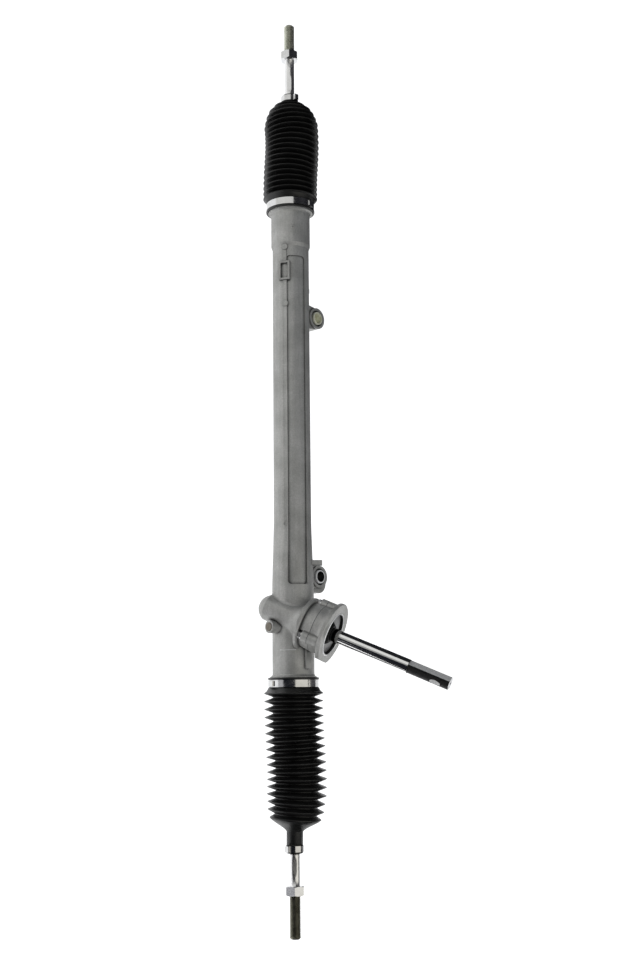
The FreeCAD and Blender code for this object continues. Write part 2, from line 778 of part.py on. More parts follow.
def pinion_cover():
    """Cast cover: spigot against the bearing, lugs, bell and the round seal plate with its recess."""
    spigot_start = BEARING_END + WASHER_GAP
    flare_start = PLATE_START - COVER_FLARE
    outside = turned([
        (spigot_start, 0.0),
        (spigot_start, BEARING_R - STATIC_FIT),
        (COVER_START, BEARING_R - STATIC_FIT),
        (COVER_START, COVER_BODY_R),
        (flare_start, COVER_BODY_R),
        flare_arc(flare_start, COVER_BODY_R, PLATE_START, COVER_FLARE_R),
        (PLATE_START, PLATE_R - PLATE_CHAMFER),
        (PLATE_START + PLATE_CHAMFER, PLATE_R),
        (PLATE_FACE - PLATE_CHAMFER, PLATE_R),
        (PLATE_FACE, PLATE_R - PLATE_CHAMFER),
        (PLATE_FACE, 0.0),
    ])
    lugs = [cover_bolt_turn(rod(LUG_R, COVER_START, PLATE_START), angle) for angle in cover_bolt_angles()]
    body = outside.multiFuse(lugs)
    bore = turned([
        (spigot_start - OVERRUN, 0.0),
        (spigot_start - OVERRUN, BEARING_STOP_R),
        (SEAL_START, BEARING_STOP_R),
        (SEAL_START, SEAL_R + STATIC_FIT),
        (RECESS_FLOOR, SEAL_R + STATIC_FIT),
        (RECESS_FLOOR, RECESS_R),
        (PLATE_FACE + OVERRUN, RECESS_R),
        (PLATE_FACE + OVERRUN, 0.0),
    ])
    cutters = [bore]
    for angle in cover_bolt_angles():
        hole = rod(COVER_BOLT_R + STATIC_FIT, COVER_START - OVERRUN, cover_bolt_tip() + STATIC_FIT)
        cutters.append(cover_bolt_turn(hole, angle))
    beyond = PLATE_R + OVERRUN
    flat = block(PLATE_START - OVERRUN, PLATE_FACE + OVERRUN, PLATE_FLAT, beyond, -PLATE_R, PLATE_R)
    cutters.append(spun(flat, PLATE_FLAT_ANGLE))
    body = body.cut(Part.makeCompound(cutters))
    return placed(body.removeSplitter(), PINION_SEAT)


def cover_gasket():
    """Thin gasket in the joint, with an eye round each bolt."""
    start = JOINT_FACE + WASHER_GAP
    end = COVER_START - WASHER_GAP
    eye = rod(LUG_R - GASKET_INSET, start, end)
    eyes = [cover_bolt_turn(eye, angle) for angle in cover_bolt_angles()]
    gasket = rod(COVER_BODY_R - GASKET_INSET, start, end).multiFuse(eyes).removeSplitter()
    holes = [rod(BEARING_R + SOFT_GAP, start - OVERRUN, end + OVERRUN)]
    for angle in cover_bolt_angles():
        hole = rod(COVER_BOLT_R + COVER_BOLT_CLEARANCE, start - OVERRUN, end + OVERRUN)
        holes.append(cover_bolt_turn(hole, angle))
    return placed(gasket.cut(Part.makeCompound(holes)), PINION_SEAT)


def cover_bolts():
    """Studs in the cover with flanged hexagon nuts in the housing's side pockets."""
    seat_at = cover_bolt_seat() - WASHER_GAP
    bolts = []
    for angle in cover_bolt_angles():
        shank = rod(COVER_BOLT_R, seat_at - COVER_BOLT_FLANGE / 2.0, cover_bolt_tip())
        flange = rod(COVER_BOLT_FLANGE_R, seat_at - COVER_BOLT_FLANGE, seat_at)
        head = hexagon(COVER_BOLT_FLATS, seat_at - COVER_BOLT_HEAD, seat_at - COVER_BOLT_FLANGE / 2.0)
        bolt = shank.multiFuse([flange, head]).removeSplitter()
        bolts.append(placed(cover_bolt_turn(bolt, angle), PINION_SEAT))
    return Part.makeCompound(bolts)


def pinion_oil_seal():
    """Radial lip seal in the cover."""
    end = SEAL_START + SEAL_WIDTH
    seal = turned([
        (SEAL_START + WASHER_GAP, SHAFT_R + SEAL_ROOM),
        (SEAL_START + WASHER_GAP, SEAL_R),
        (end, SEAL_R),
        (end, SHAFT_R + SEAL_SLOPE),
        (end - SEAL_SLOPE, SHAFT_R + RUNNING_FIT),
        (end - SEAL_SLOPE - SEAL_LIP, SHAFT_R + RUNNING_FIT),
        (SEAL_START + SEAL_WALL, SHAFT_R + SEAL_ROOM),
    ])
    return placed(seal, PINION_SEAT)


def pinion_dust_seal():
    """Black rubber seal on the floor of the plate's recess."""
    floor = RECESS_FLOOR + WASHER_GAP
    top = floor + DUST_SEAL_WIDTH * DUST_SEAL_RISE
    seal = turned([
        (floor, SHAFT_R + SEAL_ROOM),
        (floor, RECESS_R - STATIC_FIT),
        (floor + DUST_SEAL_WIDTH, RECESS_R - STATIC_FIT),
        (floor + DUST_SEAL_WIDTH * DUST_SEAL_DIP, DUST_SEAL_LIP_R),
        (top, SHAFT_R + DUST_SEAL_COLLAR),
        (top, SHAFT_R + RUNNING_FIT),
        (top - DUST_SEAL_LIP, SHAFT_R + RUNNING_FIT),
    ])
    return placed(seal, PINION_SEAT)


def seal_ring():
    """Bright steel ring in the mouth of the recess."""
    outer = RECESS_R - STATIC_FIT
    ring_shape = turned([
        (PLATE_FACE - RING_WIDTH, outer - RING_WALL),
        (PLATE_FACE - RING_WIDTH, outer),
        (PLATE_FACE, outer),
        (PLATE_FACE + RING_CROWN, outer - RING_WALL / 2.0),
        (PLATE_FACE, outer - RING_WALL),
    ])
    return placed(ring_shape, PINION_SEAT)


# Pinion and its bearings


def tooth_angles():
    """Half angle of a pinion tooth at each radius of its flank, root first."""
    transverse = math.atan(math.tan(math.radians(PRESSURE_ANGLE)) / math.cos(LEAN))
    base_r = PITCH_R * math.cos(transverse)
    normal_width = MODULE * (math.pi / 2.0 + 2.0 * PROFILE_SHIFT * math.tan(math.radians(PRESSURE_ANGLE)))
    width = (normal_width - BACKLASH) / math.cos(LEAN)
    pitch_half = width / (2.0 * PITCH_R)

    def involute(angle):
        return math.tan(angle) - angle

    flank_start = base_r * FLANK_START
    step = (PINION_TIP_R - flank_start) / (FLANK_POINTS - 1.0)
    radii = [flank_start + step * i for i in range(FLANK_POINTS)]
    widest = pitch_half + involute(transverse)
    flank = [(r, widest - involute(math.acos(base_r / r))) for r in radii]
    foot = (PINION_ROOT_R, flank[0][1] + ROOT_SPREAD)
    return [foot] + flank


def tooth_section(station):
    """Closed outline of all pinion teeth, turned to where the helix has it at a station."""
    twist = 2.0 * math.pi * station / LEAD
    flank = tooth_angles()
    points = []
    for tooth in range(PINION_TEETH):
        middle = math.pi + twist + 2.0 * math.pi * tooth / PINION_TEETH
        for radius, half in flank:
            points.append((radius, middle - half))
        for radius, half in reversed(flank):
            points.append((radius, middle + half))
    corners = [Vector(station, r * math.cos(a), r * math.sin(a)) for r, a in points]
    corners.append(corners[0])
    return Part.makePolygon(corners)


def pinion_teeth():
    """Helical teeth as a ruled loft through turned outlines."""
    half = PINION_FACE / 2.0
    step = PINION_FACE / (TOOTH_SECTIONS - 1.0)
    sections = [tooth_section(-half + step * i) for i in range(TOOTH_SECTIONS)]
    return Part.makeLoft(sections, True, True)


def pinion_shaft():
    """Pinion, journals, bearing seat and the long input shaft with its clamp flat."""
    half = PINION_FACE / 2.0
    clip_start = BEARING_END + WASHER_GAP
    clip_end = clip_start + CLIP_WIDTH + 2.0 * WASHER_GAP
    core = PINION_ROOT_R - TOOTH_ROOT_SUNK
    body = turned([
        (JOURNAL_START, 0.0),
        (JOURNAL_START, JOURNAL_R - SHAFT_CHAMFER),
        (JOURNAL_START + SHAFT_CHAMFER, JOURNAL_R),
        (-half - 2.0 * JOURNAL_SHOULDER, JOURNAL_R),
        (-half - JOURNAL_SHOULDER, core),
        (half, core),
        (half, SHOULDER_R),
        (BEARING_START - WASHER_GAP, SHOULDER_R),
        (BEARING_START - WASHER_GAP, BEARING_BORE_R),
        (clip_start, BEARING_BORE_R),
        (clip_start, BEARING_BORE_R - CLIP_DEPTH),
        (clip_end, BEARING_BORE_R - CLIP_DEPTH),
        (clip_end, SHAFT_R),
        (SHAFT_END - SHAFT_FLAT_LENGTH, SHAFT_R),
        (SHAFT_END - SHAFT_FLAT_LENGTH, SHAFT_CLAMP_R),
        (SHAFT_END - SHAFT_CHAMFER, SHAFT_CLAMP_R),
        (SHAFT_END, SHAFT_CLAMP_R - SHAFT_CHAMFER),
        (SHAFT_END, CENTRE_HOLE_R),
        (SHAFT_END - CENTRE_HOLE_DEPTH, 0.0),
    ])
    body = body.fuse(pinion_teeth())
    flat_start = SHAFT_END - SHAFT_FLAT_LENGTH
    flat = block(flat_start, SHAFT_END + OVERRUN, SHAFT_R - SHAFT_FLAT_DEPTH, SHAFT_R + OVERRUN,
                 -SHAFT_R, SHAFT_R)
    notch_y = SHAFT_R - SHAFT_NOTCH_DEPTH + SHAFT_NOTCH_R
    notch_centre = Vector(SHAFT_END - SHAFT_NOTCH_FROM_TIP, notch_y, -SHAFT_R)
    notch = Part.makeCylinder(SHAFT_NOTCH_R, 2.0 * SHAFT_R, notch_centre, UP)
    cutters = [spun(flat, SHAFT_FLAT_ANGLE), spun(notch, SHAFT_NOTCH_ANGLE)]
    return placed(body.cut(Part.makeCompound(cutters)), PINION_SEAT)


def bearing_pitch_r():
    """Radius of the circle through the ball centres."""
    return (BEARING_R + BEARING_BORE_R) / 2.0


def bearing_groove(gap):
    """Torus that cuts a ball track."""
    track = Part.makeTorus(bearing_pitch_r(), BALL_R + gap, Vector(0, 0, 0), ALONG)
    track.translate(Vector(BEARING_START + BEARING_WIDTH / 2.0, 0.0, 0.0))
    return track


def bearing_outer_ring():
    """Outer ring of the pinion's ball bearing."""
    shape = ring(BEARING_R, BEARING_R - RACE_WALL, BEARING_START + WASHER_GAP, BEARING_END)
    return placed(shape.cut(bearing_groove(RACE_GROOVE_GAP)), PINION_SEAT)


def bearing_inner_ring():
    """Inner ring, which turns with the pinion."""
    outer = BEARING_BORE_R + RACE_WALL
    shape = ring(outer, BEARING_BORE_R + STATIC_FIT, BEARING_START, BEARING_END)
    return placed(shape.cut(bearing_groove(RACE_GROOVE_GAP)), PINION_SEAT)


def ball_centres():
    """Centres of the balls in the bearing's own frame."""
    middle = BEARING_START + BEARING_WIDTH / 2.0
    turns = [2.0 * math.pi * i / BALL_COUNT for i in range(BALL_COUNT)]
    pitch_r = bearing_pitch_r()
    return [Vector(middle, pitch_r * math.cos(t), pitch_r * math.sin(t)) for t in turns]


def bearing_balls():
    """The balls as one group of separate solids."""
    balls = [Part.makeSphere(BALL_R, centre) for centre in ball_centres()]
    return placed(Part.makeCompound(balls), PINION_SEAT)


def bearing_cage():
    """Cage ring with one round pocket for each ball."""
    middle = BEARING_START + BEARING_WIDTH / 2.0
    pitch_r = bearing_pitch_r()
    half_wall = CAGE_WALL / 2.0
    half = CAGE_WIDTH / 2.0
    cage = ring(pitch_r + half_wall, pitch_r - half_wall, middle - half, middle + half)
    pockets = []
    for centre in ball_centres():
        outward = Vector(0.0, centre.y, centre.z).normalize()
        start = centre - outward * (2.0 * CAGE_WALL)
        pockets.append(Part.makeCylinder(BALL_R + STATIC_FIT, 4.0 * CAGE_WALL, start, outward))
    return placed(cage.cut(Part.makeCompound(pockets)), PINION_SEAT)


def bearing_clip():
    """Retaining ring that holds the bearing on the pinion."""
    start = BEARING_END + 2.0 * WASHER_GAP
    end = start + CLIP_WIDTH
    clip = ring(CLIP_R, BEARING_BORE_R - CLIP_DEPTH + STATIC_FIT, start, end)
    gap = block(start - OVERRUN, end + OVERRUN, 0.0, CLIP_R + OVERRUN, -CLIP_GAP / 2.0, CLIP_GAP / 2.0)
    return placed(clip.cut(gap), PINION_SEAT)


def pinion_lower_bush():
    """Plain bush in the closed end of the tower."""
    end = LOWER_BUSH_START + LOWER_BUSH_LENGTH
    return placed(ring(LOWER_BUSH_R, JOURNAL_R + RUNNING_FIT, LOWER_BUSH_START, end), PINION_SEAT)


# Yoke


def rack_back(radius):
    """Cylinder on the rack's axis, drawn in the yoke's frame, whose own Y lies along the rack."""
    return Part.makeCylinder(radius, 2.0 * BEYOND, Vector(0.0, -BEYOND, 0.0), FORWARD)


def rack_yoke():
    """Piston that holds the rack in mesh, hollowed to the rack's back."""
    body = rod(YOKE_R, YOKE_START, YOKE_END)
    hollow_r = BAR_R + RUNNING_FIT + YOKE_LINER + STATIC_FIT
    pocket = rod(YOKE_POCKET_R, YOKE_END - YOKE_POCKET_DEPTH, YOKE_END + OVERRUN)
    groove_end = YOKE_RING_AT + YOKE_RING_WIDTH
    groove = ring(YOKE_R + OVERRUN, YOKE_R - YOKE_RING_DEPTH, YOKE_RING_AT, groove_end)
    return placed(body.cut(Part.makeCompound([rack_back(hollow_r), pocket, groove])), YOKE_SEAT)


def yoke_liner():
    """Low-friction strip between the yoke and the rack."""
    half_length = YOKE_LINER_LENGTH / 2.0
    half_angle = YOKE_LINER_ANGLE / 2.0
    inner_r = BAR_R + RUNNING_FIT
    start = Vector(0.0, -half_length, 0.0)
    outer = Part.makeCylinder(inner_r + YOKE_LINER, YOKE_LINER_LENGTH, start, FORWARD)
    strip = outer.cut(rack_back(inner_r))
    turn = math.radians(half_angle)
    reach = inner_r + YOKE_LINER + OVERRUN
    low = -half_length - OVERRUN
    wedge = Part.makePolygon([
        Vector(0.0, low, 0.0),
        Vector(reach * math.cos(turn), low, reach * math.sin(turn)),
        Vector(2.0 * reach, low, 0.0),
        Vector(reach * math.cos(turn), low, -reach * math.sin(turn)),
        Vector(0.0, low, 0.0),
    ])
    keep = Part.Face(wedge).extrude(FORWARD * (YOKE_LINER_LENGTH + 2.0 * OVERRUN))
    return placed(strip.common(keep), YOKE_SEAT)


def yoke_ring():
    """Rubber ring in the yoke's groove."""
    inner = YOKE_R - YOKE_RING_DEPTH + STATIC_FIT
    start = YOKE_RING_AT + STATIC_FIT
    end = YOKE_RING_AT + YOKE_RING_WIDTH - STATIC_FIT
    return placed(ring(YOKE_R - WASHER_GAP, inner, start, end), YOKE_SEAT)


def yoke_springs():
    """Disc springs between the yoke and its plug, stacked face to face."""
    floor = YOKE_END - YOKE_POCKET_DEPTH
    room = YOKE_POCKET_DEPTH + YOKE_PLAY
    height = room / DISC_COUNT
    discs = []
    for i in range(DISC_COUNT):
        low = floor + height * i + WASHER_GAP
        high = floor + height * (i + 1) - WASHER_GAP
        rise = high - low - DISC_WALL
        inner_at = low + rise if i % 2 == 0 else low
        outer_at = low if i % 2 == 0 else low + rise
        discs.append(turned([
            (inner_at, DISC_BORE_R),
            (outer_at, DISC_R),
            (outer_at + DISC_WALL, DISC_R),
            (inner_at + DISC_WALL, DISC_BORE_R),
        ]))
    return placed(Part.makeCompound(discs), YOKE_SEAT)


def yoke_plug():
    """Threaded adjuster plug with a hexagon socket."""
    start = YOKE_END + YOKE_PLAY + WASHER_GAP
    end = start + PLUG_LENGTH
    body = rod(PLUG_THREAD_R, start, end)
    socket = hexagon(PLUG_SOCKET, end - PLUG_SOCKET_DEPTH, end + OVERRUN)
    return placed(body.cut(socket), YOKE_SEAT)


def yoke_lock_nut():
    """Slotted ring nut that locks the plug."""
    start = YOKE_BOSS_END + WASHER_GAP
    end = start + LOCK_NUT_WIDTH
    nut = ring(LOCK_NUT_R, PLUG_THREAD_R + STATIC_FIT, start, end)
    half = LOCK_NUT_SLOT / 2.0
    floor = LOCK_NUT_R - LOCK_NUT_SLOT_DEPTH
    slots = []
    for i in range(LOCK_NUT_SLOT_COUNT):
        slot = block(start - OVERRUN, end + OVERRUN, floor, LOCK_NUT_R + OVERRUN, -half, half)
        slots.append(spun(slot, FULL_TURN / LOCK_NUT_SLOT_COUNT * i))
    return placed(nut.cut(Part.makeCompound(slots)), YOKE_SEAT)


# Small pieces on the casting


def vent_plug():
    """Round plug in the small boss beside the tower."""
    start = Vector(VENT_X, VENT_REACH - VENT_DEPTH + WASHER_GAP, 0.0)
    plug = Part.makeCylinder(VENT_R, VENT_DEPTH + VENT_PROUD, start, FORWARD)
    circles = [edge for edge in plug.Edges if isinstance(edge.Curve, Part.Circle)]
    rims = [edge for edge in circles if edge.CenterOfMass.y > VENT_REACH]
    plug = plug.makeFillet(VENT_ROUNDING, rims)
    return placed(spun(plug, VIEW_ANGLE + VENT_ANGLE), RACK_SEAT)


def rack_bush():
    """Plastic bush at the far end, split so that it can be snapped in."""
    end = FAR_END_X - COUNTERBORE_DEPTH - RACK_BUSH_INSET
    start = end - RACK_BUSH_LENGTH
    shape = ring(BORE_R - STATIC_FIT, BAR_R + RUNNING_FIT, start, end)
    half = RACK_BUSH_SPLIT / 2.0
    split = block(start - OVERRUN, end + OVERRUN, 0.0, BORE_R + OVERRUN, -half, half)
    return placed(shape.cut(split), RACK_SEAT)


# Rack bar


def tooth_space(x):
    """Prism between two rack teeth, in the frame whose Y is off the rack's axis."""
    slope = math.tan(math.radians(PRESSURE_ANGLE))
    half = TOOTH_PITCH / 4.0
    over = RACK_ADDENDUM + OVERRUN
    root = REFERENCE_HEIGHT - RACK_DEDENDUM
    top = REFERENCE_HEIGHT + over
    corners = [
        Vector(x - half + RACK_DEDENDUM * slope, root, -BAR_R),
        Vector(x + half - RACK_DEDENDUM * slope, root, -BAR_R),
        Vector(x + half + over * slope, top, -BAR_R),
        Vector(x - half - over * slope, top, -BAR_R),
    ]
    corners.append(corners[0])
    return Part.Face(Part.makePolygon(corners)).extrude(UP * (2.0 * BAR_R))


def rack_bar():
    """Round bar, flat on top where the straight-cut teeth run, bored at both ends for the ball joints."""
    bar = turned([
        (BAR_NEAR_X, 0.0),
        (BAR_NEAR_X, BAR_R - BAR_CHAMFER),
        (BAR_NEAR_X + BAR_CHAMFER, BAR_R),
        (BAR_FAR_X - BAR_CHAMFER, BAR_R),
        (BAR_FAR_X, BAR_R - BAR_CHAMFER),
        (BAR_FAR_X, 0.0),
    ])
    middle = PINION_X + (RACK_TRAVEL_NEAR - RACK_TRAVEL_FAR) / 2.0
    shift = round((middle - PINION_X) / TOOTH_PITCH)
    first = PINION_X + (shift - (RACK_TOOTH_COUNT - 1) // 2) * TOOTH_PITCH
    stations = [first + TOOTH_PITCH * i for i in range(RACK_TOOTH_COUNT)]
    flat = block(stations[0] - TOOTH_PITCH, stations[-1] + TOOTH_PITCH, RACK_TIP_HEIGHT, BAR_R + OVERRUN,
                 -BAR_R, BAR_R)
    cutters = [flat] + [tooth_space(x) for x in stations]
    toothed = bar.cut(Part.makeCompound([spun(cutter, OFFSET_TILT) for cutter in cutters]))
    hole_r = STEM_R + STATIC_FIT
    depth = STEM_LENGTH + STEM_DEPTH_SPARE
    near_hole = rod(hole_r, BAR_NEAR_X - OVERRUN, BAR_NEAR_X + depth)
    far_hole = rod(hole_r, BAR_FAR_X - depth, BAR_FAR_X + OVERRUN)
    return placed(toothed.cut(Part.makeCompound([near_hole, far_hole])), RACK_SEAT)


# Ball joints and tie rods, drawn with X outward from the ball's centre


def mouth_cutter(radius, angle, reach):
    """Cone from the ball's centre that opens the mouth of a socket or seat."""
    turn = math.radians(angle)
    slant = 2.0 * radius
    return turned([
        (0.0, 0.0),
        (slant * math.cos(turn), slant * math.sin(turn)),
        (reach, slant * math.sin(turn)),
        (reach, 0.0),
    ])


def ball_socket():
    """Steel socket screwed into the end of the rack."""
    shoulder = -(BALL_TO_BAR - LOCK_WASHER)
    body = turned([
        (shoulder - STEM_LENGTH, 0.0),
        (shoulder - STEM_LENGTH, STEM_R - EDGE_CHAMFER),
        (shoulder - STEM_LENGTH + EDGE_CHAMFER, STEM_R),
        (shoulder, STEM_R),
        (shoulder, SOCKET_R - SOCKET_CHAMFER),
        (shoulder + SOCKET_CHAMFER, SOCKET_R),
        (0.0, SOCKET_R),
        (SOCKET_MOUTH, SOCKET_MOUTH_R),
        (SOCKET_MOUTH, 0.0),
    ])
    cavity = Part.makeSphere(SOCKET_CAVITY_R)
    relief = rod(SEAT_VENT_R, -SOCKET_CAVITY_R - SEAT_VENT_DEPTH, 0.0)
    mouth = mouth_cutter(SOCKET_CAVITY_R, MOUTH_ANGLE, SOCKET_MOUTH + BEYOND)
    flats = []
    flat_start = shoulder + SOCKET_CHAMFER
    for side in (0.0, HALF_TURN):
        flat = block(flat_start, flat_start + SOCKET_FLAT_LENGTH, SOCKET_FLAT / 2.0, SOCKET_R + OVERRUN,
                     -SOCKET_R, SOCKET_R)
        flats.append(spun(flat, side))
    return body.cut(Part.makeCompound([cavity, relief])).cut(mouth).cut(Part.makeCompound(flats))


def lock_washer():
    """Tab washer between the socket and the end of the rack."""
    start = -BALL_TO_BAR + WASHER_GAP
    end = -(BALL_TO_BAR - LOCK_WASHER) - WASHER_GAP
    return ring(LOCK_WASHER_R, STEM_R + STATIC_FIT, start, end)


def ball_seat():
    """Plastic seat that wraps the ball."""
    seat_shape = Part.makeSphere(MOUTH_R_SEAT).cut(Part.makeSphere(BALL_R_INNER + RUNNING_FIT))
    mouth = mouth_cutter(SOCKET_CAVITY_R, MOUTH_ANGLE, SOCKET_MOUTH + BEYOND)
    return seat_shape.cut(mouth)


def tie_rod(nut_at):
    """Inner tie rod: ball, neck, boot groove, wrench flats and the threaded end beyond its nut."""
    thread_start = nut_at + NUT_THICKNESS + THREAD_GAP
    neck = math.sqrt(BALL_R_INNER ** 2 - ROD_R ** 2)
    groove_start = BOOT_GROOVE_AT - ROD_GROOVE_WIDTH / 2.0
    groove_end = groove_start + ROD_GROOVE_WIDTH
    body = turned([
        (-BALL_R_INNER, 0.0),
        ("arc", (0.0, BALL_R_INNER), (neck, ROD_R)),
        (groove_start, ROD_R),
        (groove_start, ROD_GROOVE_R),
        (groove_end, ROD_GROOVE_R),
        (groove_end, ROD_R),
        (thread_start, ROD_R),
        (thread_start, THREAD_R),
        (ROD_END - ROD_TIP_CHAMFER, THREAD_R),
        (ROD_END, THREAD_R - ROD_TIP_CHAMFER),
        (ROD_END, 0.0),
    ])
    flats = []
    for side in (0.0, HALF_TURN):
        flat_end = ROD_FLAT_START + ROD_FLAT_LENGTH
        flat = block(ROD_FLAT_START, flat_end, ROD_FLAT / 2.0, ROD_R + OVERRUN, -ROD_R, ROD_R)
        flats.append(spun(flat, side))
    return body.cut(Part.makeCompound(flats))


def jam_nut(start):
    """Hexagon nut with chamfered corners."""
    end = start + NUT_THICKNESS
    corner_r = NUT_FLATS / math.sqrt(3.0) + STATIC_FIT
    chamfered = turned([
        (start, 0.0),
        (start, NUT_FLATS / 2.0),
        (start + NUT_CHAMFER, corner_r),
        (end - NUT_CHAMFER, corner_r),
        (end, NUT_FLATS / 2.0),
        (end, 0.0),
    ])
    nut = hexagon(NUT_FLATS, start, end).common(chamfered)
    return nut.cut(rod(ROD_R + STATIC_FIT, start - OVERRUN, end + OVERRUN))


# Boots, bands and clamps


def crest_list(count, span, crest_r, end_crests):
    """Station and radius of each crest, outward from the lip."""
    pitch = span / (count - 1.0)
    radii = [crest_r] * (count - len(end_crests)) + list(end_crests)
    return [(FIRST_CREST + pitch * i, radius) for i, radius in enumerate(radii)]


def boot(lip, crests):
    """Bellows as a closed solid: pleated outside, plain inside. Drawn outward from the ball's centre."""
    pitch = crests[1][0] - crests[0][0]
    neck_end = BOOT_GROOVE_AT + BOOT_NECK_LENGTH / 2.0 - BOOT_NECK_SETBACK
    neck_start = neck_end - BOOT_NECK_LENGTH
    last_x = lip + crests[-1][0]
    wall = ROOT_R - BOOT_BORE_R
    groove_half = (ROD_GROOVE_WIDTH - 2.0 * SOFT_GAP) / 2.0
    cuff_end = lip + FLANGE_LENGTH - LIP_PAST_FLANGE + SOFT_GAP
    band_end = lip + LIP_WIDTH + BAND_WIDTH + 2.0 * STATIC_FIT
    outer = [
        (lip, FLANGE_R + STATIC_FIT),
        (lip, LIP_R),
        (lip + LIP_WIDTH, LIP_R),
        (lip + LIP_WIDTH, CUFF_R),
        (band_end, CUFF_R),
        (band_end, CUFF_R + CUFF_STEP),
    ]
    for i, (station, radius) in enumerate(crests):
        outer.append((lip + station, radius))
        if i < len(crests) - 1:
            root = min(ROOT_R, crests[i + 1][1] - LEAST_PLEAT)
            outer.append((lip + station + pitch / 2.0, root))
    outer += [
        (neck_start, BOOT_CONE_R),
        (neck_start + BOOT_CONE_STEP, BOOT_NECK_R),
        (neck_end, BOOT_NECK_R),
    ]
    inner = [
        (neck_end, ROD_R + SOFT_GAP),
        (BOOT_GROOVE_AT + groove_half, ROD_R + SOFT_GAP),
        (BOOT_GROOVE_AT + groove_half, ROD_GROOVE_R + SOFT_GAP),
        (BOOT_GROOVE_AT - groove_half, ROD_GROOVE_R + SOFT_GAP),
        (BOOT_GROOVE_AT - groove_half, ROD_R + SOFT_GAP),
        (neck_start, ROD_R + SOFT_GAP + BOOT_MOUTH_STEP),
        (last_x - pitch, BOOT_BORE_R - wall),
        (lip + FIRST_CREST + pitch, BOOT_BORE_R),
        (cuff_end, BOOT_BORE_R),
        (cuff_end, FLANGE_R + STATIC_FIT),
    ]
    return turned(outer + inner)


def boot_band(lip):
    """Steel band round the boot's cuff, with its crimped buckle."""
    start = lip + LIP_WIDTH + STATIC_FIT
    end = start + BAND_WIDTH
    inner = CUFF_R + STATIC_FIT
    outer = inner + BAND_WALL
    band = ring(outer, inner, start, end)
    half = BUCKLE_LENGTH / 2.0
    buckle = block(start + BUCKLE_INSET, end - BUCKLE_INSET, inner + BAND_WALL / 2.0, outer + BAND_BUCKLE,
                   -half, half)
    return band.fuse(spun(buckle, BUCKLE_ANGLE)).removeSplitter()


def boot_clamp():
    """Ear clamp on the boot's neck."""
    half = CLAMP_WIDTH / 2.0
    inner = BOOT_NECK_R + SOFT_GAP
    outer = inner + CLAMP_WALL
    start = BOOT_GROOVE_AT - half
    end = BOOT_GROOVE_AT + half
    strap = ring(outer, inner, start, end)
    top = outer + CLAMP_EAR_HEIGHT
    ear_half = CLAMP_EAR_WIDTH / 2.0
    room_half = ear_half - CLAMP_EAR_WALL
    ear = block(start, end, inner + CLAMP_WALL / 2.0, top, -ear_half, ear_half)
    hollow = block(start - OVERRUN, end + OVERRUN, outer, top - CLAMP_EAR_WALL, -room_half, room_half)
    return strap.fuse(spun(ear.cut(hollow), CLAMP_EAR_ANGLE)).removeSplitter()


def end_nodes(side, placement, ball_reach, nut_at, crests):
    """All pieces at one end of the rack."""
    lip = LIP_PAST_FLANGE - ball_reach - FLANGE_LENGTH
    pieces = {
        "ball_socket": ball_socket(),
        "lock_washer": lock_washer(),
        "ball_seat": ball_seat(),
        "tie_rod": tie_rod(nut_at),
        "jam_nut": jam_nut(nut_at),
        "boot": boot(lip, crests),
        "boot_band": boot_band(lip),
        "boot_clamp": boot_clamp(),
    }
    return {name + "_" + side: placed(shape, placement) for name, shape in pieces.items()}


def all_nodes():
    """Every node of the part by name."""
    nodes = {
        "rack_housing": rack_housing(),
        "ear_rubber_near": ear_rubber(0.0),
        "ear_rubber_far": ear_rubber(EAR_SPAN),
        "ear_sleeve_near": ear_sleeve(0.0),
        "ear_sleeve_far": ear_sleeve(EAR_SPAN),
        "pinion_cover": pinion_cover(),
        "cover_gasket": cover_gasket(),
        "cover_bolts": cover_bolts(),
        "pinion_oil_seal": pinion_oil_seal(),
        "pinion_dust_seal": pinion_dust_seal(),
        "seal_ring": seal_ring(),
        "pinion_shaft": pinion_shaft(),
        "bearing_outer_ring": bearing_outer_ring(),
        "bearing_inner_ring": bearing_inner_ring(),
        "bearing_balls": bearing_balls(),
        "bearing_cage": bearing_cage(),
        "bearing_clip": bearing_clip(),
        "pinion_lower_bush": pinion_lower_bush(),
        "rack_yoke": rack_yoke(),
        "yoke_liner": yoke_liner(),
        "yoke_ring": yoke_ring(),
        "yoke_springs": yoke_springs(),
        "yoke_plug": yoke_plug(),
        "yoke_lock_nut": yoke_lock_nut(),
        "vent_plug": vent_plug(),
        "rack_bush": rack_bush(),
        "rack_bar": rack_bar(),
    }
    near_crests = crest_list(NEAR_CREST_COUNT, NEAR_CREST_SPAN, NEAR_CREST_R, NEAR_END_CRESTS)
    far_crests = crest_list(FAR_CREST_COUNT, FAR_CREST_SPAN, FAR_CREST_R, FAR_END_CRESTS)
    near = (NEAR_SIDE, NEAR_BALL_REACH, NEAR_NUT_AT, near_crests)
    far = (FAR_SIDE, FAR_BALL_REACH, FAR_NUT_AT, far_crests)
    nodes.update(end_nodes("near", *near))
    nodes.update(end_nodes("far", *far))
    return nodes


os.makedirs("parts", exist_ok=True)
for node, shape in all_nodes().items():
    shape.exportStep("parts/" + node + ".step")
    print(node, len(shape.Solids), shape.isValid(), round(shape.Volume, 1))
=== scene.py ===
import json
import math

import bpy
from mathutils import Matrix, Vector
from mathutils.bvhtree import BVHTree

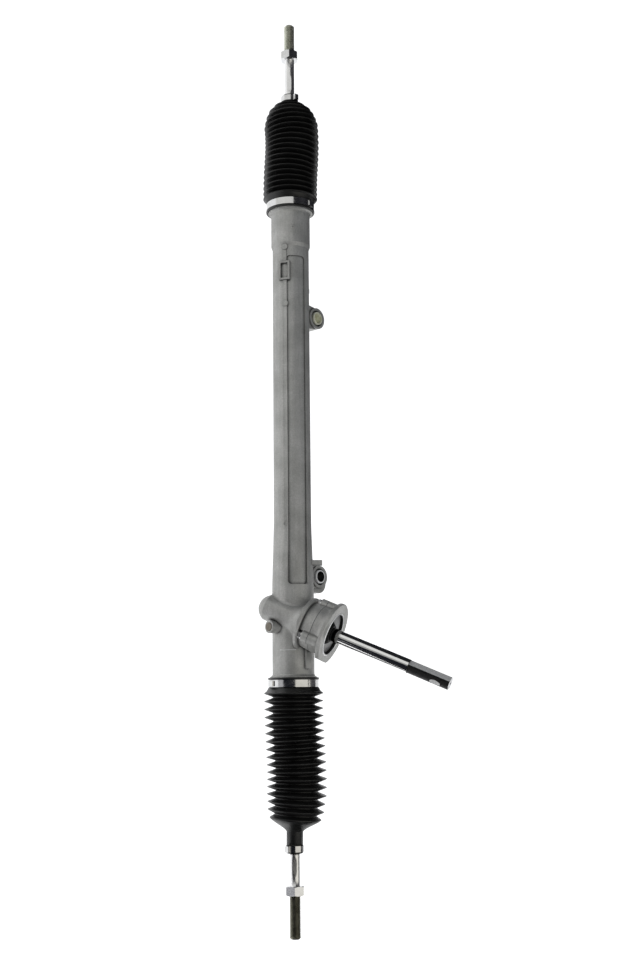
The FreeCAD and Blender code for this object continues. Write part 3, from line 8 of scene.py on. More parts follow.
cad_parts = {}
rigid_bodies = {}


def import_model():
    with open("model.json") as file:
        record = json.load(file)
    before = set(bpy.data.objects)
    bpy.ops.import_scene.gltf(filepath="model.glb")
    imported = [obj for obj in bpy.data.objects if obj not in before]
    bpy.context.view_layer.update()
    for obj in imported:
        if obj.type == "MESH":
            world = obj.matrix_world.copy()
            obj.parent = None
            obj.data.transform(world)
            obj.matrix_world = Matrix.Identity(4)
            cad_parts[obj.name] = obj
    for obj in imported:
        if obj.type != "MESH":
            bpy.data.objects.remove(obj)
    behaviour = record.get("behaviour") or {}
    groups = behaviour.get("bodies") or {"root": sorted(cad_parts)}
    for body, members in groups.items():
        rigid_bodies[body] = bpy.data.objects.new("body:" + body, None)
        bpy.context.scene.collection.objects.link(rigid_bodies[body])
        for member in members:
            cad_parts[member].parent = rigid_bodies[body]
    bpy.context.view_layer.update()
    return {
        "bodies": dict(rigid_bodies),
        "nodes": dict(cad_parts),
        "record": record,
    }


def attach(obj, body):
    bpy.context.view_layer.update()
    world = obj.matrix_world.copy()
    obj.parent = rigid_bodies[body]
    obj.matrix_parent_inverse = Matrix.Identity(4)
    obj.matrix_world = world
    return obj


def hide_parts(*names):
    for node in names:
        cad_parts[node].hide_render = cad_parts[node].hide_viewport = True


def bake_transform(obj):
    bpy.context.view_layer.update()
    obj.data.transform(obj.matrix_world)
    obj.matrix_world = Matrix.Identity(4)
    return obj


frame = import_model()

MM = 0.001

# The photograph's camera, tipped along the rack and rolled
FOCAL_PIXELS = 1300.0
LONG_SIDE_PIXELS = 960.0
SENSOR = 36.0
CLIP_NEAR = 50.0
CLIP_FAR = 20000.0
CAMERA_DISTANCE = 1450.0
CAMERA_TIP = 9.18
CAMERA_FOOT_X = -127.5
CAMERA_SIDE = 31.4
CAMERA_ROLL = 0.6
VIEW_ANGLE = 42.2

# Studio: angles are turned about the rack from the camera's side, positive to the picture's right
WHITE = (1.0, 1.0, 1.0, 1.0)
WORLD_COLOUR = (0.30, 0.31, 0.32, 1.0)
FLOOR_DROP = 450.0
FLOOR_HALF = 8000.0
FLOOR_TONE = 0.8
FLOOR_ROUGHNESS = 0.9
FLOOR_LIFT = 0.85

# Cards: name, angles from and to, places along the rack from and to, tone
CARD_R = 900.0
CARD_STEP = 8.0
END_CARD_SIDES = 36
END_CARD_TONE = (0.015, 0.016, 0.018)
STUDIO_NEAR_X = -1000.0
CARD_FOOT_X = -520.0
CARD_MIDDLE_X = 50.0
CARD_FAR_X = 320.0
STUDIO_FAR_X = 1500.0
CARDS = (
    ("near_left_card", -170.0, -46.0, CARD_FOOT_X, CARD_MIDDLE_X, (0.5, 0.5, 0.52)),
    ("near_foot_card", -170.0, -46.0, STUDIO_NEAR_X, CARD_FOOT_X, (0.02, 0.02, 0.024)),
    ("near_middle_card", -46.0, 9.0, STUDIO_NEAR_X, CARD_MIDDLE_X, (0.012, 0.013, 0.018)),
    ("near_right_card", 9.0, 80.0, STUDIO_NEAR_X, CARD_MIDDLE_X, (0.95, 0.92, 0.84)),
    ("near_back_card", 80.0, 118.0, STUDIO_NEAR_X, CARD_MIDDLE_X, (0.08, 0.08, 0.085)),
    ("middle_left_card", -150.0, 5.0, CARD_MIDDLE_X, CARD_FAR_X, (0.40, 0.40, 0.39)),
    ("middle_right_card", 5.0, 165.0, CARD_MIDDLE_X, CARD_FAR_X, (0.03, 0.03, 0.034)),
    ("far_left_card", -150.0, 16.0, CARD_FAR_X, STUDIO_FAR_X, (0.85, 0.85, 0.83)),
    ("far_right_card", 16.0, 160.0, CARD_FAR_X, STUDIO_FAR_X, (0.02, 0.02, 0.024)),
)

# Lamps: name, angle, distance, place along the rack that it aims at, shift along the rack, size,
# watts, colour, and whether reflections see it
LAMPS = (
    ("key", -70.0, 1300.0, 150.0, 0.0, (1600.0, 500.0), 16.5, (1.0, 0.985, 0.96), True),
    ("fill", 60.0, 1500.0, 150.0, 0.0, (1400.0, 500.0), 2.5, (0.95, 0.97, 1.0), True),
    ("end", 40.0, 600.0, -150.0, -1300.0, (600.0, 600.0), 9.0, (1.0, 1.0, 1.0), False),
)

# The rack's axis, the pinion's axis and the input shaft's worked faces, as in the solids
RACK_Y = 42.0
PINION_POINT = Vector((-46.5, 55.551, 5.948))
PINION_AXIS = Vector((-0.38912395, -0.37026843, 0.84349502))
OFF_RACK = Vector((0.0, 0.9156, 0.4019)).normalized()
SHAFT_END = 195.0
SHAFT_FLAT_LENGTH = 48.0
SHAFT_FLAT_ANGLE = -55.4
SHAFT_CLAMP_R = 7.1
NOTCH_FROM_TIP = 15.0
NOTCH_LENGTH = 18.0
NOTCH_ANGLE = 45.6
NOTCH_LEAST_REACH = 5.0
SERRATIONS = 40.0
# Painted shade on the shaft beside the seal, from and to these distances along the pinion's axis
SEAL_SHADE_FROM = 60.0
SEAL_SHADE_TO = 67.0
SEAL_DISH_R = 12.0
# Radius inside which the near sleeve's wall takes painted shade
SLEEVE_MIDDLE_R = 6.9
PLACE_SLACK = 0.1
SHOULDER_SLACK = 0.01

# Share of a direction in a face's normal above which the face counts as facing that way
FLAT_FACING = 0.99
END_FACING = 0.9
DISH_FACING = 0.7
WALL_FACING = 0.3

# Casting marks, with the height of a mark's foot and shoulder as shares of its own height
MARK_HEIGHT = 0.55
MARK_FOOT = -0.3
MARK_SHOULDER = 0.8
MARK_REACH = 34.0
BEAD_X = -83.5
BEAD_FROM = -38.0
BEAD_TO = 9.0
BEAD_WIDTH = 1.6
BEAD_FADE = 0.125
BEAD_STEPS = 40
RING_CHAMFER = 0.15
RING_STEPS = 32

# Round marks: place along the rack, angle from the camera's side, outer and inner radius
RING_MARKS = (
    (55.3, -19.5, 3.2, 2.0),
    (399.3, 9.0, 2.4, 1.3),
    (327.4, 84.0, 2.6, 0.2),
)

# The two ends of the rack; stations run outward from the centre of the tie rod's ball
NEAR = {
    "name": "near",
    "outward": -1.0,
    "ball_x": -206.0,
    "housing_end_x": -129.5,
    "nut_at": 129.0,
    "neck_length": 23.5,
    "sag": 3.0,
    "crest_count": 17,
    "crest_span": 134.0,
    "crest_r": 32.8,
    "end_crests": (31.6, 30.8, 28.3),
}
FAR = {
    "name": "far",
    "outward": 1.0,
    "ball_x": 473.0,
    "housing_end_x": 438.2,
    "nut_at": 140.0,
    "neck_length": 14.0,
    "sag": 2.5,
    "crest_count": 19,
    "crest_span": 114.6,
    "crest_r": 31.6,
    "end_crests": (30.2, 28.1, 24.8, 18.5),
}

# Boots: the lip's rounded edges are steps along it and down from its radius
FLANGE_LENGTH = 17.0
FLANGE_R = 25.8
FLANGE_CLEARANCE = 0.1
LIP_R = 28.2
LIP_WIDTH = 2.5
LIP_GAP = 1.0
LIP_FIRST_EDGE = ((0.0, 0.7), (0.25, 0.2), (0.7, 0.0))
LIP_LAST_EDGE = ((0.7, 0.0), (0.2, 0.3))
LIP_INSIDE = 0.5
BAND_WIDTH = 7.8
BAND_GAP = 0.4
CUFF_R = 27.2
CUFF_STEP = 0.6
CUFF_RAMP = 0.15
ROOT_R = 22.8
LEAST_PLEAT = 3.0
BOOT_WALL = 2.4
FIRST_CREST = 17.2
FIRST_RISE_SAMPLE = 3
PLEAT_SHARPNESS = 0.95
PLEAT_SAMPLES = 14
SHOULDER_STRAIGHT = 0.55
SHOULDER_SAMPLES = 10
CLAMP_AT = 90.0
BOOT_NECK_R = 9.0
NECK_BORE_R = 6.35
NECK_FLARE = 0.5
NECK_FLARE_LENGTH = 0.8
NECK_CHAMFER = 0.6
NECK_PAST_CLAMP = 5.0
BOOT_STEPS = 128

# How a boot sags, stretches and swings
SAG_SKEW = 1.3
SAG_STEP = 0.01
SAG_BEFORE_CLAMP = 7.0
SWING_FROM = -20.0
SWING_TO = 78.0

# Tie rods
BALL_R = 11.0
BALL_OPENING = 0.1
BALL_SAMPLES = 24
TIP_R = 0.05
SHANK_R = 5.6
SHANK_STEP = 6.0
SHANK_SAMPLES = 11
ROD_GROOVE_WIDTH = 6.0
ROD_GROOVE_R = 4.8
FLAT_START = 101.0
FLAT_LENGTH = 16.0
FLAT_HALF = 5.0
FLAT_RUNOUT = 3.0
FLAT_SLOPE = 2.5
FLAT_SAMPLES = 12
NUT_THICKNESS = 10.0
NUT_GAP = 0.5
ROD_END = 184.0
ROD_TIP_CHAMFER = 1.4
THREAD_R = 6.0
THREAD_PITCH = 1.25
THREAD_DEPTH = 0.72
THREAD_ROOT_SHARE = 0.15
THREAD_FLANK_SHARE = 0.7
THREAD_SAMPLES = 10
ROD_STEPS = 56

# Rays by which a material finds its own recesses, where it paints shade
OCCLUSION_SAMPLES = 8


def on_axis(x):
    """Point on the rack's axis."""
    return Vector((x, RACK_Y, 0.0))


def radial(angle):
    """Unit vector square to the rack, turned from +Y towards +Z."""
    turn = math.radians(angle)
    return Vector((0.0, math.cos(turn), math.sin(turn)))


def unit(value):
    """Value held between 0 and 1."""
    return min(max(value, 0.0), 1.0)


def smooth(share):
    """Share from 0 to 1 that starts and ends gently."""
    return share * share * (3.0 - 2.0 * share)


# Building objects


def put_in_scene(name, data):
    """A new object that holds a mesh, a camera, a light or nothing."""
    thing = bpy.data.objects.new(name, data)
    bpy.context.scene.collection.objects.link(thing)
    return thing


def mesh_object(name, verts, faces, material):
    """A mesh object from vertices in millimetres."""
    mesh = bpy.data.meshes.new(name)
    mesh.from_pydata([tuple(c * MM for c in v) for v in verts], [], faces)
    mesh.update()
    mesh.materials.append(material)
    return put_in_scene(name, mesh)


def make_piece(name, verts, faces, material, body):
    """A smooth piece of the rack, riding on a body unless body is None."""
    piece = mesh_object(name, verts, faces, material)
    for polygon in piece.data.polygons:
        polygon.use_smooth = True
    if body:
        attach(piece, body)
    return piece


def side_frame(side):
    """Function that takes (station, radius, turn) at one end of the rack to a point."""
    def point(station, radius, turn):
        angle = VIEW_ANGLE + math.degrees(turn)
        return on_axis(side["ball_x"] + side["outward"] * station) + radial(angle) * radius
    return point


def revolve(rows, steps, place):
    """Vertices and faces of a closed row of (station, radius) turned once round, put by place."""
    verts, faces = [], []
    count = len(rows)
    for i in range(steps):
        turn = 2.0 * math.pi * i / steps
        verts += [place(station, radius, turn) for station, radius in rows]
    for i in range(steps):
        a, b = i * count, ((i + 1) % steps) * count
        for j in range(count):
            k = (j + 1) % count
            faces.append((a + j, a + k, b + k, b + j))
    return verts, faces


# Nodes of a material


def new_material(name):
    material = bpy.data.materials.new(name)
    material.use_nodes = True
    return material, material.node_tree, material.node_tree.nodes["Principled BSDF"]


def grey(value):
    return (value, value, value, 1.0)


def noise(tree, scale, detail, stretch=(1.0, 1.0, 1.0)):
    """Noise in object coordinates, in metres, drawn out along an axis where stretch is small."""
    coords = tree.nodes.new("ShaderNodeTexCoord")
    mapping = tree.nodes.new("ShaderNodeMapping")
    mapping.inputs["Scale"].default_value = stretch
    texture = tree.nodes.new("ShaderNodeTexNoise")
    texture.inputs["Scale"].default_value = scale
    texture.inputs["Detail"].default_value = detail
    tree.links.new(coords.outputs["Object"], mapping.inputs["Vector"])
    tree.links.new(mapping.outputs["Vector"], texture.inputs["Vector"])
    return texture.outputs["Fac"]


def occlusion(tree, distance):
    """How open the surface is nearby."""
    node = tree.nodes.new("ShaderNodeAmbientOcclusion")
    node.samples = OCCLUSION_SAMPLES
    node.only_local = True
    node.inputs["Distance"].default_value = distance * MM
    return node.outputs["AO"]


def ramp(tree, source, from_colour, to_colour, low=0.3, high=0.7):
    """Turns the source into a colour, which changes between the two values low and high."""
    node = tree.nodes.new("ShaderNodeValToRGB")
    node.color_ramp.elements[0].position = low
    node.color_ramp.elements[1].position = high
    node.color_ramp.elements[0].color = from_colour
    node.color_ramp.elements[1].color = to_colour
    tree.links.new(source, node.inputs["Fac"])
    return node.outputs["Color"]


def multiply(tree, a, b):
    """Product of two colours."""
    node = tree.nodes.new("ShaderNodeMix")
    node.data_type = "RGBA"
    node.blend_type = "MULTIPLY"
    node.inputs["Factor"].default_value = 1.0
    tree.links.new(a, node.inputs["A"])
    tree.links.new(b, node.inputs["B"])
    return node.outputs["Result"]


def calculate(tree, operation, *sources):
    """Result of a Math node; each source is another node's output or a number."""
    node = tree.nodes.new("ShaderNodeMath")
    node.operation = operation
    for i, source in enumerate(sources):
        if isinstance(source, float):
            node.inputs[i].default_value = source
        else:
            tree.links.new(source, node.inputs[i])
    return node.outputs[0]


def bump(tree, shader, source, strength, distance):
    node = tree.nodes.new("ShaderNodeBump")
    node.inputs["Strength"].default_value = strength
    node.inputs["Distance"].default_value = distance * MM
    tree.links.new(source, node.inputs["Height"])
    tree.links.new(node.outputs["Normal"], shader.inputs["Normal"])


def pinion_reach(tree, direction, per_metre=1.0):
    """How far a place lies from PINION_POINT along a direction, in metres times per_metre."""
    coords = tree.nodes.new("ShaderNodeTexCoord")
    apart = tree.nodes.new("ShaderNodeVectorMath")
    apart.operation = "SUBTRACT"
    apart.inputs[1].default_value = tuple(PINION_POINT * MM)
    dot = tree.nodes.new("ShaderNodeVectorMath")
    dot.operation = "DOT_PRODUCT"
    dot.inputs[1].default_value = tuple(direction * per_metre)
    tree.links.new(coords.outputs["Object"], apart.inputs[0])
    tree.links.new(apart.outputs["Vector"], dot.inputs[0])
    return dot.outputs["Value"]


# Materials


def cast_alloy():
    """Shot-blasted cast aluminium: fine grain, soft patches, faint streaks and painted shade in its
    corners.
    """
    material, tree, shader = new_material("cast_alloy")
    patches = noise(tree, scale=45.0, detail=6.0)
    speckle = noise(tree, scale=700.0, detail=3.0)
    streaks = noise(tree, scale=260.0, detail=3.0, stretch=(0.06, 1.0, 1.0))
    grain = noise(tree, scale=900.0, detail=4.0)
    # Painted shade: the occlusion darkens the alloy in its corners and creases.
    corners = occlusion(tree, distance=4.0)
    dark, light = (0.43, 0.43, 0.415, 1.0), (0.57, 0.57, 0.555, 1.0)
    colour = ramp(tree, patches, dark, light, low=0.32, high=0.68)
    colour = multiply(tree, colour, ramp(tree, speckle, grey(0.80), grey(1.0)))
    colour = multiply(tree, colour, ramp(tree, streaks, grey(0.88), grey(1.0), high=0.65))
    colour = multiply(tree, colour, ramp(tree, corners, grey(0.16), grey(1.0), 0.4, 0.92))
    tree.links.new(colour, shader.inputs["Base Color"])
    tree.links.new(ramp(tree, grain, grey(0.42), grey(0.56)), shader.inputs["Roughness"])
    shader.inputs["Metallic"].default_value = 0.5
    bump(tree, shader, grain, strength=0.35, distance=0.25)
    return material


def boot_rubber():
    """Moulded black rubber with a faint grain and patchy gloss."""
    material, tree, shader = new_material("boot_rubber")
    patches = noise(tree, scale=60.0, detail=3.0)
    gloss = ramp(tree, patches, grey(0.34), grey(0.46), low=0.35)
    tree.links.new(ramp(tree, patches, grey(0.006), grey(0.011)), shader.inputs["Base Color"])
    tree.links.new(gloss, shader.inputs["Roughness"])
    shader.inputs["Specular IOR Level"].default_value = 0.45
    bump(tree, shader, noise(tree, scale=1400.0, detail=2.0), strength=0.12, distance=0.1)
    return material


def metal(name, dark, light, rough, scale=120.0, metallic=1.0, bumps=0.06, recess_shade=0.25):
    """Metal with small changes of tone and roughness over its surface, and painted shade in its
    recesses.
    """
    material, tree, shader = new_material(name)
    patches = noise(tree, scale, detail=4.0)
    colour = ramp(tree, patches, dark, light)
    # Painted shade: the occlusion darkens the metal in its recesses.
    recesses = ramp(tree, occlusion(tree, distance=7.0), grey(recess_shade), grey(1.0), 0.25, 0.75)
    roughness = ramp(tree, patches, grey(rough[0]), grey(rough[1]))
    tree.links.new(multiply(tree, colour, recesses), shader.inputs["Base Color"])
    tree.links.new(roughness, shader.inputs["Roughness"])
    shader.inputs["Metallic"].default_value = metallic
    bump(tree, shader, noise(tree, scale=1800.0, detail=2.0), bumps, distance=0.1)
    return material


def dull(name, dark, light, rough, specular=0.5):
    """Rubber, fibre or plastic with a fine mottle."""
    material, tree, shader = new_material(name)
    patches = noise(tree, scale=200.0, detail=3.0)
    tree.links.new(ramp(tree, patches, dark, light), shader.inputs["Base Color"])
    shader.inputs["Specular IOR Level"].default_value = specular
    shader.inputs["Roughness"].default_value = rough
    bump(tree, shader, noise(tree, scale=1500.0, detail=2.0), strength=0.15, distance=0.1)
    return material


def ground_steel():
    """Bright ground steel of the input shaft, with painted shade beside the seal for the seal's
    shadow and dark reflection on it.
    """
    material = metal("shaft_steel", grey(0.74), grey(0.82), rough=(0.07, 0.12))
    tree = material.node_tree
    colour_input = tree.nodes["Principled BSDF"].inputs["Base Color"]
    colour = colour_input.links[0].from_socket
    reach = pinion_reach(tree, PINION_AXIS, per_metre=1.0 / (SHAFT_END * MM))
    # Painted shade: the shaft turns dark beside the seal, standing in for the seal's shadow and
    # reflection.
    seal_shade = ramp(tree, reach, grey(0.06), grey(1.0), SEAL_SHADE_FROM / SHAFT_END, SEAL_SHADE_TO / SHAFT_END)
    tree.links.new(multiply(tree, colour, seal_shade), colour_input)
    return material


def serrated_steel():
    """Dark steel with fine serrations along the input shaft, drawn by the turn about its axis."""
    material, tree, shader = new_material("shaft_serrated")
    across = pinion_reach(tree, OFF_RACK)
    aside = pinion_reach(tree, PINION_AXIS.cross(OFF_RACK))
    turn = calculate(tree, "ARCTAN2", across, aside)
    wave = calculate(tree, "SINE", calculate(tree, "MULTIPLY", turn, SERRATIONS))
    colour = ramp(tree, wave, grey(0.008), grey(0.05), low=0.0, high=0.9)
    tree.links.new(colour, shader.inputs["Base Color"])
    shader.inputs["Metallic"].default_value = 0.8
    shader.inputs["Roughness"].default_value = 0.3
    bump(tree, shader, wave, strength=0.5, distance=0.4)
    return material


# Where a metal below darkens its recesses, that is painted shade.
METALS = {
    "zinc_steel": dict(dark=grey(0.62), light=(0.74, 0.75, 0.77, 1.0), rough=(0.16, 0.26)),
    "yellow_zinc": dict(dark=(0.66, 0.66, 0.52, 1.0), light=(0.92, 0.92, 0.80, 1.0),
                        rough=(0.4, 0.55), scale=420.0, metallic=0.45, bumps=0.3, recess_shade=0.6),
    "band_steel": dict(dark=grey(0.55), light=grey(0.66), rough=(0.12, 0.2)),
    "shaft_flat": dict(dark=grey(0.50), light=grey(0.72), rough=(0.55, 0.7),
                       scale=700.0, metallic=0.3, bumps=0.6),
    "shaft_end": dict(dark=grey(0.92), light=grey(0.97), rough=(0.4, 0.5),
                      scale=300.0, metallic=0.1, bumps=0.3, recess_shade=0.1),
    "bearing_steel": dict(dark=grey(0.6), light=grey(0.7), rough=(0.1, 0.16)),
    "rack_steel": dict(dark=grey(0.40), light=grey(0.50), rough=(0.2, 0.3)),
    "vent_bronze": dict(dark=(0.17, 0.15, 0.125, 1.0), light=(0.27, 0.24, 0.20, 1.0),
                        rough=(0.5, 0.65), scale=500.0, metallic=0.5, bumps=0.4),
    "rod_steel": dict(dark=grey(0.72), light=grey(0.80), rough=(0.26, 0.36)),
    "thread_far": dict(dark=(0.50, 0.51, 0.43, 1.0), light=(0.68, 0.69, 0.60, 1.0),
                       rough=(0.22, 0.34)),
    "thread_near": dict(dark=(0.17, 0.165, 0.13, 1.0), light=(0.27, 0.265, 0.215, 1.0),
                        rough=(0.26, 0.38)),
    # Painted highlight: near-white steel for the faces of the seal ring and the near sleeve.
    "painted_highlight_steel": dict(dark=grey(0.90), light=grey(0.97), rough=(0.3, 0.4),
                       scale=200.0, metallic=0.2, bumps=0.1, recess_shade=0.8),
    "seal_face": dict(dark=grey(0.40), light=grey(0.56), rough=(0.5, 0.6),
                      scale=700.0, metallic=0.3, bumps=0.5, recess_shade=0.7),
    # Painted highlight: a lighter alloy for the casting bead.
    "painted_highlight_alloy": dict(dark=grey(0.52), light=grey(0.66), rough=(0.4, 0.5),
                      scale=300.0, metallic=0.4, bumps=0.3, recess_shade=1.0),
    # Painted shade: near-black steel for the seal ring's wall and the near sleeve's bore.
    "painted_shade_bore": dict(dark=grey(0.02), light=grey(0.05), rough=(0.4, 0.6)),
}
DULLS = {
    "bush_rubber": dict(dark=grey(0.012), light=grey(0.02), rough=0.6),
    "gasket_fibre": dict(dark=grey(0.16), light=grey(0.22), rough=0.8),
    "seal_rubber": dict(dark=grey(0.006), light=grey(0.012), rough=0.5, specular=0.15),
    "nylon": dict(dark=(0.70, 0.68, 0.60, 1.0), light=(0.78, 0.76, 0.68, 1.0), rough=0.4),
}


def make_materials():
    """Every material by its name, which for the CAD nodes is the record's slot."""
    materials = {
        "cast_alloy": cast_alloy(),
        "boot_rubber": boot_rubber(),
        "shaft_steel": ground_steel(),
        "shaft_serrated": serrated_steel(),
    }
    materials.update({name: metal(name, **look) for name, look in METALS.items()})
    materials.update({name: dull(name, **look) for name, look in DULLS.items()})
    return materials


# Boots


def crest_list(side):
    """Station and radius of each crest, outward from the lip."""
    count, ends = side["crest_count"], side["end_crests"]
    pitch = side["crest_span"] / (count - 1.0)
    radii = [side["crest_r"]] * (count - len(ends)) + list(ends)
    return [(FIRST_CREST + pitch * i, radius) for i, radius in enumerate(radii)]


def pleat(share):
    """Height of a pleat from 0 at the root to 1 at the crest; share runs from crest to crest."""
    height = math.asin(PLEAT_SHARPNESS * math.cos(2.0 * math.pi * share))
    return 0.5 + 0.5 * (height / math.asin(PLEAT_SHARPNESS))


def cuff_rows(lip):
    """Lip and cuff of a boot, from the housing's flange to the step before the first crest."""
    lip_end = lip + LIP_WIDTH
    cuff_end = lip_end + BAND_WIDTH + BAND_GAP
    rows = [(lip, FLANGE_R + FLANGE_CLEARANCE)]
    rows += [(lip + along, LIP_R - down) for along, down in LIP_FIRST_EDGE]
    rows += [(lip_end - along, LIP_R - down) for along, down in LIP_LAST_EDGE]
    rows += [(lip_end, CUFF_R), (cuff_end, CUFF_R), (cuff_end + CUFF_RAMP, CUFF_R + CUFF_STEP)]
    return rows


def pleat_rows(lip, crests):
    """Pleats of a boot, rising from the cuff's step and falling to a root between two crests."""
    pitch = crests[1][0] - crests[0][0]
    half = PLEAT_SAMPLES // 2
    foot_r = CUFF_R + CUFF_STEP
    first_x, first_r = crests[0]
    rows = []
    for j in range(FIRST_RISE_SAMPLE, half + 1):
        share = -0.5 * (1.0 - j / half)
        rows.append((lip + first_x + pitch * share, foot_r + (first_r - foot_r) * pleat(share)))
    for (_, before_r), (crest_x, crest_r) in zip(crests, crests[1:]):
        root_r = min(ROOT_R, min(before_r, crest_r) - LEAST_PLEAT)
        for j in range(1, PLEAT_SAMPLES + 1):
            share = j / PLEAT_SAMPLES
            top_r = before_r if share < 0.5 else crest_r
            station = lip + crest_x - pitch * (1.0 - share)
            rows.append((station, root_r + (top_r - root_r) * pleat(share)))
    return rows


def neck_rows(last_x, last_r, neck_length):
    """Shoulder after the last crest, and the straight neck under the ear clamp."""
    neck_end = CLAMP_AT + NECK_PAST_CLAMP
    neck_start = neck_end - neck_length
    rows = []
    for j in range(1, SHOULDER_SAMPLES + 1):
        share = j / SHOULDER_SAMPLES
        drop = SHOULDER_STRAIGHT * share + (1.0 - SHOULDER_STRAIGHT) * smooth(share)
        rows.append((last_x + (neck_start - last_x) * share,
                     last_r + (BOOT_NECK_R + NECK_FLARE - last_r) * drop))
    rows += [
        (neck_start + NECK_FLARE_LENGTH, BOOT_NECK_R),
        (neck_end - NECK_CHAMFER, BOOT_NECK_R),
        (neck_end, BOOT_NECK_R - NECK_CHAMFER),
    ]
    return rows


def boot_piece(side, materials):
    """Bellows as one thin-walled closed mesh that stretches between the housing and the rack."""
    ball_x, outward = side["ball_x"], side["outward"]
    housing_end = -abs(side["housing_end_x"] - ball_x)
    lip = housing_end - FLANGE_LENGTH + LIP_GAP
    crests = crest_list(side)
    outer = cuff_rows(lip) + pleat_rows(lip, crests)
    outer += neck_rows(lip + crests[-1][0], crests[-1][1], side["neck_length"])
    inner = []
    for station, radius in reversed(outer):
        radius = max(radius - BOOT_WALL, NECK_BORE_R)
        if station < housing_end:
            radius = max(radius, FLANGE_R + FLANGE_CLEARANCE)
        if station > lip + LIP_INSIDE:
            inner.append((station, radius))
    start, end = lip + FIRST_CREST, CLAMP_AT - SAG_BEFORE_CLAMP
    straight = side_frame(side)
    right = radial(VIEW_ANGLE + 90.0)

    def sag(share):
        return side["sag"] * math.sin(math.pi * share ** SAG_SKEW) ** 2

    def place(station, radius, turn):
        share = unit((station - start) / (end - start))
        ahead = min(share + SAG_STEP, 1.0)
        slope = (sag(ahead) - sag(share)) / (SAG_STEP * (end - start))
        point = straight(station, radius, turn)
        across = (point - on_axis(point.x)).dot(right)
        return point + right * sag(share) - Vector((outward * slope * across, 0.0, 0.0))

    verts, faces = revolve(outer + inner, BOOT_STEPS, place)
    piece = make_piece(side["name"] + "_bellows", verts, faces, materials["boot_rubber"], None)
    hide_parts("boot_" + side["name"])
    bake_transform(piece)
    follow_rod(piece, side)


def follow_rod(piece, side):
    """Lets a boot's small end swing with its tie rod about the ball, wherever the rack has slid."""
    pivot = put_in_scene(side["name"] + "_swing", None)
    pivot.parent = frame["bodies"][side["name"] + "_clamp"]
    slide = pivot.constraints.new("COPY_LOCATION")
    slide.target = frame["bodies"]["rack"]
    slide.invert_x = slide.invert_y = slide.invert_z = True
    slide.owner_space, slide.target_space = "LOCAL", "WORLD"
    group = piece.vertex_groups.new(name="rod_end")
    for vertex in piece.data.vertices:
        station = side["outward"] * (vertex.co.x / MM - side["ball_x"])
        share = unit((station - SWING_FROM) / (SWING_TO - SWING_FROM))
        if share > 0.0:
            group.add([vertex.index], smooth(share), "REPLACE")
    hook = piece.modifiers.new("rod_end", "HOOK")
    hook.object = pivot
    hook.vertex_group = group.name


# Tie rods


def thread_radius(station, turn, start, end):
    """Radius of a threaded rod at a place on it, with the thread fading in at both ends."""
    phase = station / THREAD_PITCH - turn / (2.0 * math.pi)
    wave = abs(2.0 * (phase - math.floor(phase)) - 1.0)
    ridge = unit((wave - THREAD_ROOT_SHARE) / THREAD_FLANK_SHARE)
    fade = unit(min(station - start, end - station) / THREAD_PITCH)
    return THREAD_R - THREAD_DEPTH * (1.0 - ridge) * fade


def ball_rows(neck):
    """The tie rod's ball, from its pole to where the shank leaves it."""
    first, last = math.pi - BALL_OPENING, math.atan2(SHANK_R, neck)
    rows = [(-BALL_R, TIP_R)]
    for i in range(BALL_SAMPLES + 1):
        angle = first + (last - first) * i / BALL_SAMPLES
        rows.append((BALL_R * math.cos(angle), BALL_R * math.sin(angle)))
    return rows


def shank_rows(neck):
    """The shank with the groove for the boot's neck, and close rows along the wrench flats."""
    groove = CLAMP_AT - ROD_GROOVE_WIDTH / 2.0
    groove_end = groove + ROD_GROOVE_WIDTH
    rows = [(neck + SHANK_STEP * i, SHANK_R) for i in range(1, SHANK_SAMPLES + 1)]
    rows += [(groove, SHANK_R), (groove, ROD_GROOVE_R), (groove_end, ROD_GROOVE_R),
             (groove_end, SHANK_R)]
    flat_rows_length = FLAT_LENGTH + 2.0 * FLAT_RUNOUT
    for i in range(FLAT_SAMPLES + 1):
        rows.append((FLAT_START - FLAT_RUNOUT + flat_rows_length * i / FLAT_SAMPLES, SHANK_R))
    return rows


def thread_rows(start, end):
    """Close rows along the thread, and the chamfered tip."""
    length = end - start
    count = int(length / THREAD_PITCH * THREAD_SAMPLES)
    rows = [(start, SHANK_R)]
    rows += [(start + length * i / count, THREAD_R) for i in range(count + 1)]
    rows += [(ROD_END, THREAD_R - ROD_TIP_CHAMFER), (ROD_END, TIP_R)]
    return rows


def cut_flats(point, station, turn):
    """Point of the shank brought in to the two wrench flats, which run out at both ends."""
    from_end = min(station - FLAT_START, FLAT_START + FLAT_LENGTH - station)
    limit = FLAT_HALF + (SHANK_R - FLAT_HALF) * unit(-from_end / FLAT_SLOPE)
    across = SHANK_R * math.cos(turn)
    if from_end < -FLAT_RUNOUT or abs(across) <= limit:
        return point
    return point - radial(VIEW_ANGLE) * (across - math.copysign(limit, across))


def tie_rod_piece(side, materials):
    """Tie rod with its ball, wrench flats and rolled thread."""
    neck = math.sqrt(BALL_R ** 2 - SHANK_R ** 2)
    thread_start = side["nut_at"] + NUT_THICKNESS / 2.0 + NUT_GAP
    thread_end = ROD_END - ROD_TIP_CHAMFER
    rows = ball_rows(neck) + shank_rows(neck) + thread_rows(thread_start, thread_end)
    straight = side_frame(side)

    def place(station, radius, turn):
        if radius == THREAD_R:
            radius = thread_radius(station, turn, thread_start, thread_end)
        point = straight(station, radius, turn)
        return cut_flats(point, station, turn) if radius == SHANK_R else point

    verts, faces = revolve(rows, ROD_STEPS, place)
    name = side["name"]
    piece = make_piece("threaded_tie_rod_" + name, verts, faces, materials["rod_steel"],
                       name + "_rod")
    piece.data.materials.append(materials["thread_" + name])
    for polygon in piece.data.polygons:
        if abs(polygon.center.x / MM - side["ball_x"]) > thread_start:
            polygon.material_index = 1
    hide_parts("tie_rod_" + name)


